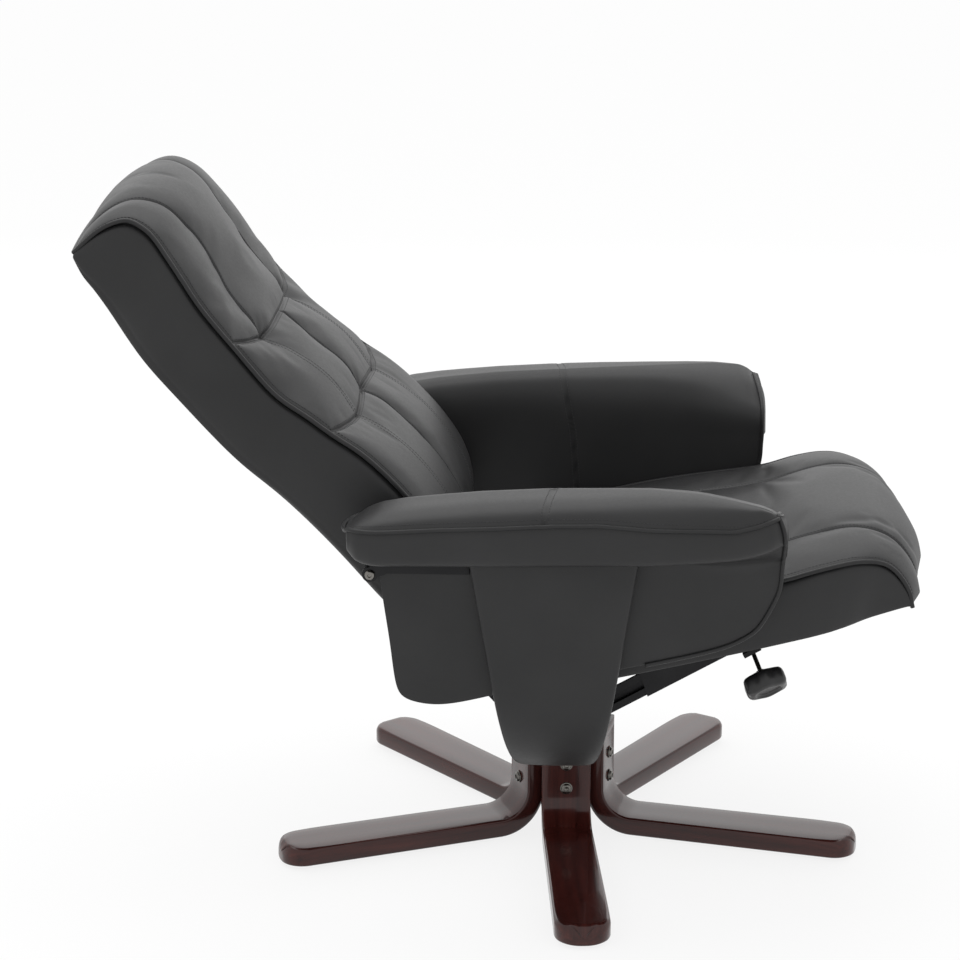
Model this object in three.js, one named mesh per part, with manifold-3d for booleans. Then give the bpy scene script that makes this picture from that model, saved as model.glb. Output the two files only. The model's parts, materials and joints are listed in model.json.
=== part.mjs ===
// Swivel recliner on a five-leg wooden star base, in millimetres, +Z up, +X to the front of the chair.
// It is drawn reclined: the back leans all the way down and the seat has run all the way forward.
import * as THREE from 'three';
import { mergeVertices } from 'three/addons/utils/BufferGeometryUtils.js';
import Module from 'manifold-3d';

const wasm = await Module();
wasm.setup();

const degrees = Math.PI / 180;

// Clearances and cuts
const restGap = 0.3;
const pinGap = 0.4;
const slideGap = 0.8;
const overrun = 3;

// Star base
const legCount = 5;
const firstLegAngle = -85.2 * degrees;
const footRadius = 405;
const legThickness = 25;
const legRootWidth = 66.5;
const legTipWidth = 70.7;
const legBendRadius = 38;
const legTipCorner = 26;
const legTopRoll = 9;
const legEdgeEase = 3;
const flangeInnerRadius = 39;
const flangeTop = 154;
const glideHeight = 6;
const glideRadius = 11;
const glideInset = 32;
const hubBottom = 62;
const boltHeights = [78, 112];
const boltShankRadius = 3;
const boltHeadRadius = 7;
const boltHeadHeight = 4;
const boltBite = 16;
const bearingHeight = 3;
const bearingRadius = 46;
const spindleRadius = 15;

// Side carriers, bent from the hub up to the arms
const carrierThickness = 24;
const carrierBendRadius = 116;
const carrierLean = 7.2 * degrees;
const carrierTopRear = 115;
const carrierTopFront = 97;
const carrierRootRear = 47;
const carrierRootFront = 33;
const carrierEdgeRound = 8;

// Arms
const armSideGap = 7;
const armStart = -262;
const armLength = 534;
const padUnder = 486;
const padRise = 86;
const padWidth = 112;
const padEndRound = 16;
const panelTopThickness = 45.7;
const panelDrop = 204;
const panelEdgeRound = 5;
const panelPivotGap = 4;

// Back, measured from its pivot along the back and out from it
const pivotX = -237;
const pivotZ = 460;
const backTilt = 42 * degrees;
const backSwing = 22.4 * degrees;
const backReach = 540;
const backDepth = 100;
const backInset = 20;
const backBoardThickness = 12;
const backCrown = 24;
const backPillow = 9;
const backSeamDepth = 9;
const backSeamWidth = 11;
const headSeamOffset = 120;

// Seat, measured from its rear lower corner along the seat and up from it
const seatX = -32;
const seatZ = 289;
const seatTilt = 14 * degrees;
const seatLength = 490;
const seatHeight = 100;
const seatHalfWidth = 255;
const seatBoardHeight = 38;
const seatBoardThickness = 18;
const seatBoardDrop = 4;
const seatPanThickness = 12;
const seatCrown = 21;
const seatPillow = 7;
const seatSeamDepth = 7;
const seatSeamWidth = 12;
const seatSeamOffset = 140;

// Slide and lever mechanism
const travelSlope = 29.7 * degrees;
const seatTravel = 96.7;
const railX = 58.6;
const railZ = 235;
const railInset = 12;
const railThickness = 5;
const railWidth = 30;
const railBack = 60;
const railFront = 206;
const slotRadius = 5.6;
const slidePinRadius = 5;
const slidePinDistance = 92;
const frontPinAt = 160;
const runnerThickness = 4;
const runnerMargin = 16;
const deckThickness = 5;
const deckInset = 5;
const deckRear = 40;
const deckFront = 34;
const deckBoltX = 20;
const deckBoltInset = 60;
const tieRadius = 8;
const leverThickness = 5;
const leverWidth = 32;
const leverTop = 150;
const linkPinRadius = 5;
const linkEarThickness = 5;
const linkEarWidth = 24;
const pivotPinRadius = 5;
const pivotHeadRadius = 9;
const pivotHeadHeight = 5;
const pivotSpacerRadius = 9;
const pivotBarThickness = 5;
const pivotBarHeight = 22;
const pivotBarEnd = 13;

// Clamp knob
const knobRadius = 25;
const knobHeight = 22;
const knobLobes = 6;
const knobLobeDepth = 3;
const stemRadius = 4;
const stemLength = 31;
const stemTail = 12;
const clampThickness = 6;
const clampReach = 50;
const clampWidth = 24;
const clampLean = new THREE.Vector3(0.35, -0.58, -0.73).normalize();

// Places across the chair, from the seat's width
const armInside = seatHalfWidth + armSideGap;
const backHalfWidth = seatHalfWidth - backInset;

// Outlines as shares of the sizes that they follow: [along the back, out of it]
const backFaceShares = [
  [-0.207, -0.1], [-0.206, 0.1], [-0.19, 0.33], [-0.15, 0.57], [-0.08, 0.75], [0.053, 0.835],
  [0.198, 0.787], [0.281, 0.678], [0.355, 0.594], [0.432, 0.5], [0.548, 0.511], [0.695, 0.554],
  [0.773, 0.624], [0.856, 0.692], [0.914, 0.718], [0.952, 0.672], [0.972, 0.596], [0.996, 0.3],
  [1, -0.05],
];
const backRearShares = [
  [-0.226, -0.26], [-0.079, -0.289], [0.054, -0.277], [0.254, -0.327], [0.376, -0.418],
  [0.574, -0.439], [0.78, -0.405], [0.904, -0.291], [0.941, -0.266], [0.985, -0.17],
];
const backBoardEndShare = 0.93;
const backRowShares = [
  0, 0.04, 0.085, 0.13, 0.18, 0.23, 0.28, 0.33, 0.372, 0.388, 0.404, 0.44, 0.48, 0.52, 0.56, 0.584,
  0.6, 0.616, 0.65, 0.69, 0.73, 0.77, 0.81, 0.85, 0.885, 0.91, 0.93, 0.955, 0.98, 1,
];
const lumbarSeamShare = 0.388;
const neckSeamShare = 0.6;
const seamRiseShare = 0.036;
const backColumnShares = [0, 0.045, 0.17, 0.33, 0.46, 0.51, 0.56, 0.7, 0.85, 0.955, 1];

// [along the seat, up from its lower corner]
const seatTopShares = [
  [-0.02, 0.5], [-0.03, 0.66], [0.008, 0.8], [0.114, 0.87], [0.324, 0.88], [0.529, 0.81],
  [0.69, 0.74], [0.757, 0.764], [0.849, 0.767], [0.9, 0.745], [0.947, 0.667], [0.976, 0.529],
  [0.992, 0.355], [0.998, 0.1], [0.996, -0.06],
];
const seatFrontBoardShare = 0.962;
const seatCornerRowShare = 0.89;
const seatRearEaseShare = 0.5;
const seatRowShares = [
  0, 0.05, 0.09, 0.14, 0.22, 0.3, 0.38, 0.46, 0.54, 0.61, 0.67, 0.73, 0.78, 0.82, 0.86, 0.89, 0.92,
  0.96, 1,
];
const seatColumnShares = [0, 0.16, 0.34, 0.5, 0.549, 0.6, 0.76, 0.9, 0.97, 1];

// [along the arm, height between the pad's underside and its crest]
const padCrestShares = [
  [0, 0.558], [0.135, 0.826], [0.4625, 0.965], [0.67, 1], [0.807, 0.94], [0.923, 0.86], [0.981, 0.76],
  [1, 0.72],
];
const padPipingShares = [
  [0, 0.57], [0.08, 0.547], [0.2, 0.593], [0.337, 0.628], [0.457, 0.674], [0.57, 0.686], [0.693, 0.64],
  [0.805, 0.628], [0.873, 0.63], [0.93, 0.72], [0.98, 0.9], [1, 0.92],
];
const padLipShares = [[0, 0.174], [0.032, 0], [0.352, 0.012], [0.672, 0.047], [0.876, 0.163], [1, 0.4]];
const padStationShares = [
  0, 0.01, 0.03, 0.08, 0.2, 0.34, 0.46, 0.57, 0.69, 0.8, 0.87, 0.925, 0.965, 0.99, 1,
];
// [along the panel, height between its lowest point and the pad]
const panelShares = [
  [0, 1], [0, 0.873], [0.034, 0.093], [0.05, 0.03], [0.085, 0], [0.153, 0], [0.288, 0.059],
  [0.6145, 0.235], [0.855, 0.407], [0.912, 0.462], [0.94, 0.525], [0.961, 0.608], [0.98, 0.711],
  [0.996, 0.794], [1, 0.9], [1, 1],
];
// [across the pad, and how much of the crest's, the piping's and the lip's height a point takes]
const padSectionShares = [
  [0, 0, 0, 0], [0, 0.55, 0, 0], [0.04, 0.82, 0, 0], [0.14, 0.95, 0, 0], [0.34, 1, 0, 0],
  [0.62, 0.9, 0.1, 0], [0.86, 0.25, 0.75, 0], [0.965, 0, 1, 0], [1, 0, 0.5, 0.5], [0.955, 0, 0.1, 0.9],
  [0.88, 0, 0, 1], [0.66, 0, 0, 0.5], [0.42, 0, 0, 0],
];

// Sections of the small turned pieces, as shares: [out, up] on a bolt's head and [up, out] on the knob
const boltHeadShares = [[1, 0], [0.9, 0.6], [0.5, 1], [0, 1]];
const knobSectionShares = [[0, 0.8], [0.15, 0.95], [0.5, 1], [0.85, 0.93], [1, 0.72]];

// Materials
const leather = () => new THREE.MeshStandardMaterial({ color: 0x333436, roughness: 0.45, metalness: 0 });
const wood = () => new THREE.MeshStandardMaterial({ color: 0x3d1715, roughness: 0.25, metalness: 0 });
const blackSteel = () => new THREE.MeshStandardMaterial({ color: 0x161617, roughness: 0.4, metalness: 0.8 });
const boltSteel = () => new THREE.MeshStandardMaterial({ color: 0x26241f, roughness: 0.35, metalness: 0.9 });
const board = () => new THREE.MeshStandardMaterial({ color: 0x2a2a2b, roughness: 0.8, metalness: 0 });
const nylon = () => new THREE.MeshStandardMaterial({ color: 0x0f0f10, roughness: 0.5, metalness: 0 });

// A named piece from a geometry
function piece(name, geometry, material) {
  const mesh = new THREE.Mesh(geometry, material);
  mesh.name = name;
  return mesh;
}

// A geometry with its faces turned outward and no vertex repeated
function outward(geometry) {
  geometry.deleteAttribute('normal');
  geometry.deleteAttribute('uv');
  const closed = mergeVertices(geometry);
  const at = closed.attributes.position;
  const order = closed.index.array;
  const corners = [new THREE.Vector3(), new THREE.Vector3(), new THREE.Vector3()];
  let volume = 0;
  for (let i = 0; i < order.length; i += 3) {
    corners.forEach((corner, j) => corner.fromBufferAttribute(at, order[i + j]));
    volume += corners[0].dot(corners[1].cross(corners[2]));
  }
  if (volume < 0) {
    for (let i = 0; i < order.length; i += 3) {
      [order[i], order[i + 1]] = [order[i + 1], order[i]];
    }
  }
  closed.computeVertexNormals();
  return closed;
}

// The triangles that close a ring of points, wound the way that the ring runs
function capTriangles(ring) {
  const normal = new THREE.Vector3();
  ring.forEach((p, i) => {
    const q = ring[(i + 1) % ring.length];
    normal.add(new THREE.Vector3().crossVectors(p, q));
  });
  const across = new THREE.Vector3().subVectors(ring[1], ring[0]).normalize();
  const up = new THREE.Vector3().crossVectors(normal, across).normalize();
  const flat = ring.map((p) => new THREE.Vector2(p.dot(across), p.dot(up)));
  return THREE.ShapeUtils.triangulateShape(flat, []).map(([a, b, c]) => {
    const turn = (flat[b].x - flat[a].x) * (flat[c].y - flat[a].y)
      - (flat[c].x - flat[a].x) * (flat[b].y - flat[a].y);
    return turn > 0 ? [a, b, c] : [a, c, b];
  });
}

// A closed body through a row of rings with the same number of points
function loft(rings) {
  const size = rings[0].length;
  const order = [];
  for (let r = 0; r + 1 < rings.length; r += 1) {
    for (let i = 0; i < size; i += 1) {
      const a = r * size + i;
      const b = r * size + (i + 1) % size;
      order.push(a, b, b + size, a, b + size, a + size);
    }
  }
  const last = (rings.length - 1) * size;
  capTriangles(rings[0]).forEach(([a, b, c]) => order.push(a, c, b));
  capTriangles(rings[rings.length - 1]).forEach(([a, b, c]) => order.push(last + a, last + b, last + c));
  const geometry = new THREE.BufferGeometry();
  geometry.setAttribute('position', new THREE.Float32BufferAttribute(rings.flat().flatMap((p) => [...p]), 3));
  geometry.setIndex(order);
  return outward(geometry);
}

// A flat plate with its outline in X and Z, between two places on Y
function plate(outline, near, far) {
  const shape = new THREE.Shape(outline.map(([x, z]) => new THREE.Vector2(x, z)));
  const geometry = new THREE.ExtrudeGeometry(shape, { depth: far - near, bevelEnabled: false, curveSegments: 6 });
  geometry.rotateX(Math.PI / 2);
  geometry.translate(0, far, 0);
  return outward(geometry);
}

// A round bar between two points
function bar(from, to, radius, sides = 16) {
  const run = new THREE.Vector3().subVectors(to, from);
  const geometry = new THREE.CylinderGeometry(radius, radius, run.length(), sides);
  const up = new THREE.Vector3(0, 1, 0);
  geometry.applyQuaternion(new THREE.Quaternion().setFromUnitVectors(up, run.clone().normalize()));
  const middle = new THREE.Vector3().addVectors(from, to).multiplyScalar(1 / 2);
  geometry.translate(...middle);
  return outward(geometry);
}

// A bar across the chair, at one place in X and Z
function crossBar(x, z, near, far, radius, sides) {
  return bar(new THREE.Vector3(x, near, z), new THREE.Vector3(x, far, z), radius, sides);
}

function toSolid(geometry) {
  return new wasm.Manifold(new wasm.Mesh({
    numProp: 3,
    vertProperties: new Float32Array(geometry.attributes.position.array),
    triVerts: new Uint32Array(geometry.index.array),
  }));
}

function toGeometry(solid) {
  const mesh = solid.getMesh();
  const geometry = new THREE.BufferGeometry();
  geometry.setAttribute('position', new THREE.BufferAttribute(mesh.vertProperties, 3));
  geometry.setIndex(new THREE.BufferAttribute(mesh.triVerts, 1));
  return outward(geometry);
}

function cut(body, ...tools) {
  return toGeometry(tools.reduce((solid, tool) => solid.subtract(toSolid(tool)), toSolid(body)));
}

function join(...bodies) {
  return toGeometry(bodies.slice(1).reduce((solid, other) => solid.add(toSolid(other)), toSolid(bodies[0])));
}

// The other side's copy of a piece, across the chair's middle plane
function mirrored(geometry) {
  const copy = geometry.clone();
  copy.scale(1, -1, 1);
  return outward(copy);
}

// Height at a share of a length, read from a table of shares
function readShares(table, share) {
  const next = Math.max(1, table.findIndex(([at]) => at >= share));
  const [a, low] = table[next - 1];
  const [b, high] = table[next];
  return low + (high - low) * THREE.MathUtils.clamp((share - a) / (b - a), 0, 1);
}

// A rounded box section around a middle, in two directions
function boxSection(middle, across, up, halfWidth, low, high, lowEase, highRound, lowEaseUp = lowEase) {
  const point = (a, b) => middle.clone().addScaledVector(across, a).addScaledVector(up, b);
  const half = highRound * (1 - Math.SQRT1_2);
  return [
    point(halfWidth - lowEase, low), point(halfWidth, low + lowEaseUp),
    point(halfWidth, high - highRound), point(halfWidth - half, high - half), point(halfWidth - highRound, high),
    point(highRound - halfWidth, high), point(half - halfWidth, high - half), point(-halfWidth, high - highRound),
    point(-halfWidth, low + lowEaseUp), point(lowEase - halfWidth, low),
  ];
}

// Places of the star base
const legTop = glideHeight + restGap + legThickness;
const legUnder = glideHeight + restGap;
const flangeOuterRadius = flangeInnerRadius + legThickness;
const bearingFloor = flangeTop + restGap;
const carrierFloor = bearingFloor + bearingHeight + restGap;
const carrierDeck = carrierFloor + carrierThickness;
const deckFloor = carrierDeck + restGap;
const deckTop = deckFloor + deckThickness;

// Places of the side carriers, which stand against the arm panels
const carrierOuterRadius = carrierBendRadius + carrierThickness;
const carrierBendEnd = Math.PI / 2 - carrierLean;
const carrierBendTop = carrierFloor + carrierOuterRadius * (1 - Math.cos(carrierBendEnd));
const carrierTop = padUnder - restGap;
const carrierRun = (z) => carrierOuterRadius * carrierBendEnd + (z - carrierBendTop) / Math.cos(carrierLean);
const carrierStraight = (carrierTop - carrierBendTop) / Math.cos(carrierLean);
const carrierFoot = armInside + panelTopThickness + restGap + carrierThickness / Math.cos(carrierLean)
  - carrierOuterRadius * Math.cos(carrierLean) - carrierStraight * Math.sin(carrierLean);
const deckHalfLength = carrierFoot - deckInset;
const railOffset = deckHalfLength - railInset;
const deckBoltY = carrierFoot - deckBoltInset;
const deckBolts = [['far', 1], ['near', -1]].flatMap(([side, sign]) => [
  [`${side}_front`, deckBoltX, sign * deckBoltY], [`${side}_rear`, -deckBoltX, sign * deckBoltY],
]);
const panelRear = pivotX + pivotSpacerRadius + panelPivotGap;
const panelLength = armStart + armLength - panelRear;

// One leg along +X: an upright flange at the hub, a bend, and a tapering foot with a rolled tip
function legGeometry() {
  const wedge = Math.tan(Math.PI / legCount);
  const width = (radius) => THREE.MathUtils.mapLinear(
    radius, flangeInnerRadius, footRadius, legRootWidth, legTipWidth) / 2;
  const across = new THREE.Vector3(0, 1, 0);
  const rings = [];
  // the flange, with its inner corners cut back so that five of them close round the hub
  const wedgeEase = width(flangeInnerRadius) - flangeInnerRadius * wedge + restGap;
  const flangeRing = (z, top) => boxSection(
    new THREE.Vector3(flangeInnerRadius, 0, z), across, new THREE.Vector3(1, 0, 0),
    width(flangeInnerRadius), 0, legThickness, wedgeEase, top, wedgeEase / wedge + restGap);
  rings.push(flangeRing(flangeTop, legEdgeEase));
  const bendOuter = legBendRadius + legThickness;
  const bendX = flangeInnerRadius + bendOuter;
  const bendZ = legUnder + bendOuter;
  const steps = 6;
  for (let i = 0; i <= steps; i += 1) {
    const share = i / steps;
    const angle = share * Math.PI / 2;
    const inward = new THREE.Vector3(Math.cos(angle), 0, Math.sin(angle));
    const middle = new THREE.Vector3(bendX, 0, bendZ).addScaledVector(inward, -bendOuter);
    const ease = THREE.MathUtils.lerp(wedgeEase, legEdgeEase, share);
    const easeUp = THREE.MathUtils.lerp(wedgeEase / wedge + restGap, legEdgeEase, share);
    const round = THREE.MathUtils.lerp(legEdgeEase, legTopRoll, share);
    rings.push(boxSection(middle, across, inward, width(middle.x), 0, legThickness, ease, round, easeUp));
  }
  // the foot narrows round its tip corners, and its top rolls down over the end
  const tipShares = [1, 0.6, 0.3, 0.12, 0.03, 0];
  tipShares.forEach((share) => {
    const back = share * legTipCorner;
    const x = footRadius - back;
    const round = legTipCorner - Math.sqrt(legTipCorner ** 2 - (legTipCorner - back) ** 2);
    const fall = Math.max(0, legTopRoll - back);
    const drop = legTopRoll - Math.sqrt(legTopRoll ** 2 - fall ** 2);
    const middle = new THREE.Vector3(x, 0, legUnder);
    const up = new THREE.Vector3(0, 0, 1);
    rings.push(boxSection(
      middle, across, up, width(x) - round, 0, legThickness - drop, legEdgeEase, legTopRoll));
  });
  const holes = boltHeights.map((z) => bar(
    new THREE.Vector3(flangeInnerRadius - overrun, 0, z),
    new THREE.Vector3(flangeOuterRadius + overrun, 0, z), boltShankRadius + pinGap, 10));
  return cut(loft(rings), ...holes);
}

function hubGeometry() {
  const apothem = flangeInnerRadius - restGap;
  const corner = apothem / Math.cos(Math.PI / legCount);
  const block = new THREE.CylinderGeometry(corner, corner, flangeTop - hubBottom, legCount);
  block.rotateX(Math.PI / 2);
  block.rotateZ(firstLegAngle + Math.PI / legCount + Math.PI / 2);
  block.translate(0, 0, (flangeTop + hubBottom) / 2);
  const bore = bar(
    new THREE.Vector3(0, 0, hubBottom - overrun), new THREE.Vector3(0, 0, flangeTop + overrun),
    spindleRadius + slideGap, 24);
  const holes = [];
  for (let i = 0; i < legCount; i += 1) {
    const angle = firstLegAngle + i * 2 * Math.PI / legCount;
    const out = new THREE.Vector3(Math.cos(angle), Math.sin(angle), 0);
    boltHeights.forEach((z) => {
      const inner = out.clone().multiplyScalar(apothem - boltBite - pinGap).setZ(z);
      const outer = out.clone().multiplyScalar(apothem + overrun).setZ(z);
      holes.push(bar(inner, outer, boltShankRadius + pinGap, 8));
    });
  }
  return cut(outward(block), bore, ...holes);
}

// A bolt along +Y: a shank from its inner end to the seat, and a domed head beyond it
function boltGeometry(inner, seat) {
  return new THREE.LatheGeometry([
    new THREE.Vector2(0, inner), new THREE.Vector2(boltShankRadius, inner),
    new THREE.Vector2(boltShankRadius, seat),
    ...boltHeadShares.map(([out, up]) => new THREE.Vector2(boltHeadRadius * out, seat + boltHeadHeight * up)),
  ], 10);
}

// A bolt through a leg's flange into the hub, along +X
function legBoltGeometry(z) {
  const geometry = boltGeometry(flangeInnerRadius - restGap - boltBite, flangeOuterRadius + restGap);
  geometry.rotateZ(-Math.PI / 2);
  geometry.translate(0, 0, z);
  return outward(geometry);
}

function addBase(group) {
  group.add(piece('hub_block', hubGeometry(), wood()));
  const ring = new THREE.LatheGeometry([
    new THREE.Vector2(spindleRadius + slideGap, 0), new THREE.Vector2(bearingRadius, 0),
    new THREE.Vector2(bearingRadius, bearingHeight), new THREE.Vector2(spindleRadius + slideGap, bearingHeight),
    new THREE.Vector2(spindleRadius + slideGap, 0),
  ], 28);
  ring.rotateX(Math.PI / 2);
  ring.translate(0, 0, bearingFloor);
  group.add(piece('swivel_bearing', outward(ring), nylon()));
  for (let i = 0; i < legCount; i += 1) {
    const arm = new THREE.Group();
    arm.rotation.z = firstLegAngle + i * 2 * Math.PI / legCount;
    arm.add(piece(`leg_${i + 1}`, legGeometry(), wood()));
    boltHeights.forEach((z, row) => {
      arm.add(piece(`leg_${i + 1}_bolt_${row ? 'upper' : 'lower'}`, legBoltGeometry(z), boltSteel()));
    });
    const glide = new THREE.CylinderGeometry(glideRadius, glideRadius - legEdgeEase / 2, glideHeight, 16);
    glide.rotateX(Math.PI / 2);
    glide.translate(footRadius - glideInset, 0, glideHeight / 2);
    arm.add(piece(`leg_${i + 1}_glide`, outward(glide), nylon()));
    group.add(arm);
  }
}

// One side carrier, on the +Y side: level over the hub, bent up, and leaning out to the arm
function carrierGeometry() {
  const centre = new THREE.Vector3(0, carrierFoot, carrierFloor + carrierOuterRadius);
  const rise = new THREE.Vector3(0, Math.sin(carrierLean), Math.cos(carrierLean));
  const out = new THREE.Vector3(0, Math.cos(carrierLean), -Math.sin(carrierLean));
  const bendTop = centre.clone().addScaledVector(out, carrierOuterRadius);
  const wholeRun = carrierRun(carrierTop);
  const across = new THREE.Vector3(1, 0, 0);
  const section = (outer, inwardDirection, run, round = carrierEdgeRound) => {
    const share = THREE.MathUtils.clamp(run / wholeRun, 0, 1);
    const rear = THREE.MathUtils.lerp(carrierRootRear, carrierTopRear, share);
    const front = THREE.MathUtils.lerp(carrierRootFront, carrierTopFront, share);
    const middle = outer.clone().addScaledVector(across, (front - rear) / 2);
    return boxSection(middle, across, inwardDirection, (front + rear) / 2, 0, carrierThickness, round, round);
  };
  const up = new THREE.Vector3(0, 0, 1);
  const rings = [
    section(new THREE.Vector3(0, spindleRadius + slideGap, carrierFloor), up, 0),
    section(new THREE.Vector3(0, carrierFoot, carrierFloor), up, 0),
  ];
  const steps = 8;
  for (let i = 1; i <= steps; i += 1) {
    const angle = carrierBendEnd * i / steps;
    const radial = new THREE.Vector3(0, Math.sin(angle), -Math.cos(angle));
    const outer = centre.clone().addScaledVector(radial, carrierOuterRadius);
    rings.push(section(outer, radial.clone().negate(), carrierOuterRadius * angle));
  }
  const topOuter = bendTop.clone().addScaledVector(rise, carrierStraight);
  rings.push(section(topOuter, out.clone().negate(), wholeRun));
  const body = loft(rings);
  // the top is trimmed level under the arm pad
  const trim = new THREE.BoxGeometry(armLength, padWidth * 2, padRise);
  trim.translate(0, topOuter.y, carrierTop + padRise / 2);
  const holes = [deckBoltX, -deckBoltX].map((x) => bar(
    new THREE.Vector3(x, deckBoltY, carrierDeck - boltBite - pinGap),
    new THREE.Vector3(x, deckBoltY, carrierDeck + overrun), boltShankRadius + pinGap, 10));
  return cut(body, outward(trim), ...holes);
}

// Outer face of an arm panel at a height, leaning with the carrier
function panelOuter(z) {
  return armInside + panelTopThickness - (padUnder - z) * Math.tan(carrierLean);
}

// One arm's side panel, on the +Y side, with eased edges
function panelGeometry() {
  const outline = panelShares.map(([along, up]) => [
    panelRear + along * panelLength, padUnder - restGap - panelDrop + up * panelDrop]);
  const middleX = panelRear + panelLength / 2;
  const middleZ = padUnder - panelDrop / 2;
  const ring = (place, inset) => outline.map(([x, z]) => {
    const top = z > padUnder - panelEdgeRound;
    const shrinkX = 1 - inset / (panelLength / 2);
    const shrinkZ = 1 - inset / (panelDrop / 2);
    return new THREE.Vector3(
      middleX + (x - middleX) * shrinkX, place(z), top ? z : middleZ + (z - middleZ) * shrinkZ);
  });
  return loft([
    ring(() => armInside, panelEdgeRound),
    ring(() => armInside + panelEdgeRound, 0),
    ring((z) => panelOuter(z) - panelEdgeRound, 0),
    ring((z) => panelOuter(z), panelEdgeRound),
  ]);
}

// One arm pad, on the +Y side: crowned, with an outward lip that overhangs the panel
function padGeometry() {
  const section = (share) => {
    const x = armStart + share * armLength;
    const [crest, piping, lip] = [padCrestShares, padPipingShares, padLipShares].map(
      (table) => padRise * readShares(table, share));
    return padSectionShares.map(([out, ofCrest, ofPiping, ofLip]) => new THREE.Vector3(
      x, armInside + out * padWidth, padUnder + crest * ofCrest + piping * ofPiping + lip * ofLip));
  };
  const rings = padStationShares.map((share) => {
    const along = share * armLength;
    const end = Math.min(along, armLength - along);
    const curl = padEndRound - Math.min(end, padEndRound);
    const inset = padEndRound - Math.sqrt(padEndRound ** 2 - curl ** 2);
    const ring = section(share);
    const middle = ring.reduce((sum, p) => sum.add(p), new THREE.Vector3()).divideScalar(ring.length);
    const shrink = 1 - inset / (padWidth / 2);
    return ring.map((p) => {
      const low = p.z <= padUnder;
      const drawn = p.clone().sub(middle).multiplyScalar(shrink).add(middle);
      return low ? drawn.setZ(padUnder) : drawn;
    });
  });
  return loft(rings);
}

// The steel bar that carries the back's pivot, on the +Y side, with its pin hole
function pivotBarGeometry() {
  const inner = panelOuter(pivotZ) + restGap + pivotBarHeight * Math.tan(carrierLean) / 2;
  const half = pivotBarHeight / 2;
  const share = carrierRun(pivotZ + half) / carrierRun(carrierTop);
  const front = -THREE.MathUtils.lerp(carrierRootRear, carrierTopRear, share) - restGap;
  const rear = pivotX - pivotBarEnd;
  const outline = [
    [front, pivotZ - half], [front, pivotZ + half], [rear + half / 2, pivotZ + half],
    [rear, pivotZ + half / 2], [rear, pivotZ - half / 2], [rear + half / 2, pivotZ - half],
  ];
  const hole = crossBar(
    pivotX, pivotZ, inner - overrun, inner + pivotBarThickness + overrun, pivotPinRadius + pinGap, 16);
  return { geometry: cut(plate(outline, inner, inner + pivotBarThickness), hole), inner };
}

// The pivot bolt, through the bar, the spacer and the lever
function pivotBoltGeometry(barOuter, leverInner) {
  const shank = crossBar(pivotX, pivotZ, leverInner, barOuter + restGap + pivotHeadHeight / 2, pivotPinRadius, 16);
  const head = crossBar(
    pivotX, pivotZ, barOuter + restGap, barOuter + restGap + pivotHeadHeight, pivotHeadRadius, 12);
  return join(shank, head);
}

function pivotSpacerGeometry(near, far) {
  const tube = crossBar(pivotX, pivotZ, near, far, pivotSpacerRadius, 16);
  return cut(tube, crossBar(pivotX, pivotZ, near - overrun, far + overrun, pivotPinRadius + pinGap, 16));
}

// A place along the rails' middle line
const travelDirection = [Math.cos(travelSlope), Math.sin(travelSlope)];
function onRail(along, off = 0) {
  const [c, s] = travelDirection;
  return [railX + along * c - off * s, railZ + along * s + off * c];
}

// One slide rail, on the +Y side: a sloping plate with a long slot and a foot on the deck
function railGeometry() {
  const half = railWidth / 2;
  const footTop = onRail(-railBack, half);
  const heel = onRail(-railBack, -half);
  const outline = [
    [-deckRear, deckTop + restGap], [deckFront, deckTop + restGap],
    onRail(deckFront - railX + half, -half), onRail(railFront - half / 2, -half), onRail(railFront, -half / 2),
    onRail(railFront, half / 2), onRail(railFront - half / 2, half), footTop, [-deckRear, heel[1]],
  ];
  const inner = railOffset - railThickness / 2;
  const outer = railOffset + railThickness / 2;
  const slotEnds = [frontPinAt - slidePinDistance - seatTravel - slideGap, frontPinAt + slideGap];
  const slot = [];
  const steps = 6;
  slotEnds.forEach((along, end) => {
    for (let i = 0; i <= steps; i += 1) {
      const angle = Math.PI * (i / steps + (end ? -1 / 2 : 1 / 2));
      slot.push(onRail(along + slotRadius * Math.cos(angle), slotRadius * Math.sin(angle)));
    }
  });
  return cut(plate(outline, inner, outer), plate(slot, inner - overrun, outer + overrun));
}

// The steel deck over the carriers, with the spindle that turns in the hub
function deckGeometry() {
  const deck = new THREE.BoxGeometry(deckRear + deckFront, deckHalfLength * 2, deckThickness);
  deck.translate((deckFront - deckRear) / 2, 0, deckFloor + deckThickness / 2);
  const spindle = bar(
    new THREE.Vector3(0, 0, hubBottom), new THREE.Vector3(0, 0, deckFloor + deckThickness / 2), spindleRadius, 24);
  const holes = deckBolts.map(([, x, y]) => bar(
    new THREE.Vector3(x, y, deckFloor - overrun), new THREE.Vector3(x, y, deckTop + overrun),
    boltShankRadius + pinGap, 10));
  return cut(join(outward(deck), spindle), ...holes);
}

// A bolt down through the deck into a carrier
function deckBoltGeometry(x, y) {
  const geometry = boltGeometry(carrierDeck - boltBite, deckTop + restGap);
  geometry.rotateX(Math.PI / 2);
  geometry.translate(x, y, 0);
  return outward(geometry);
}

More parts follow.
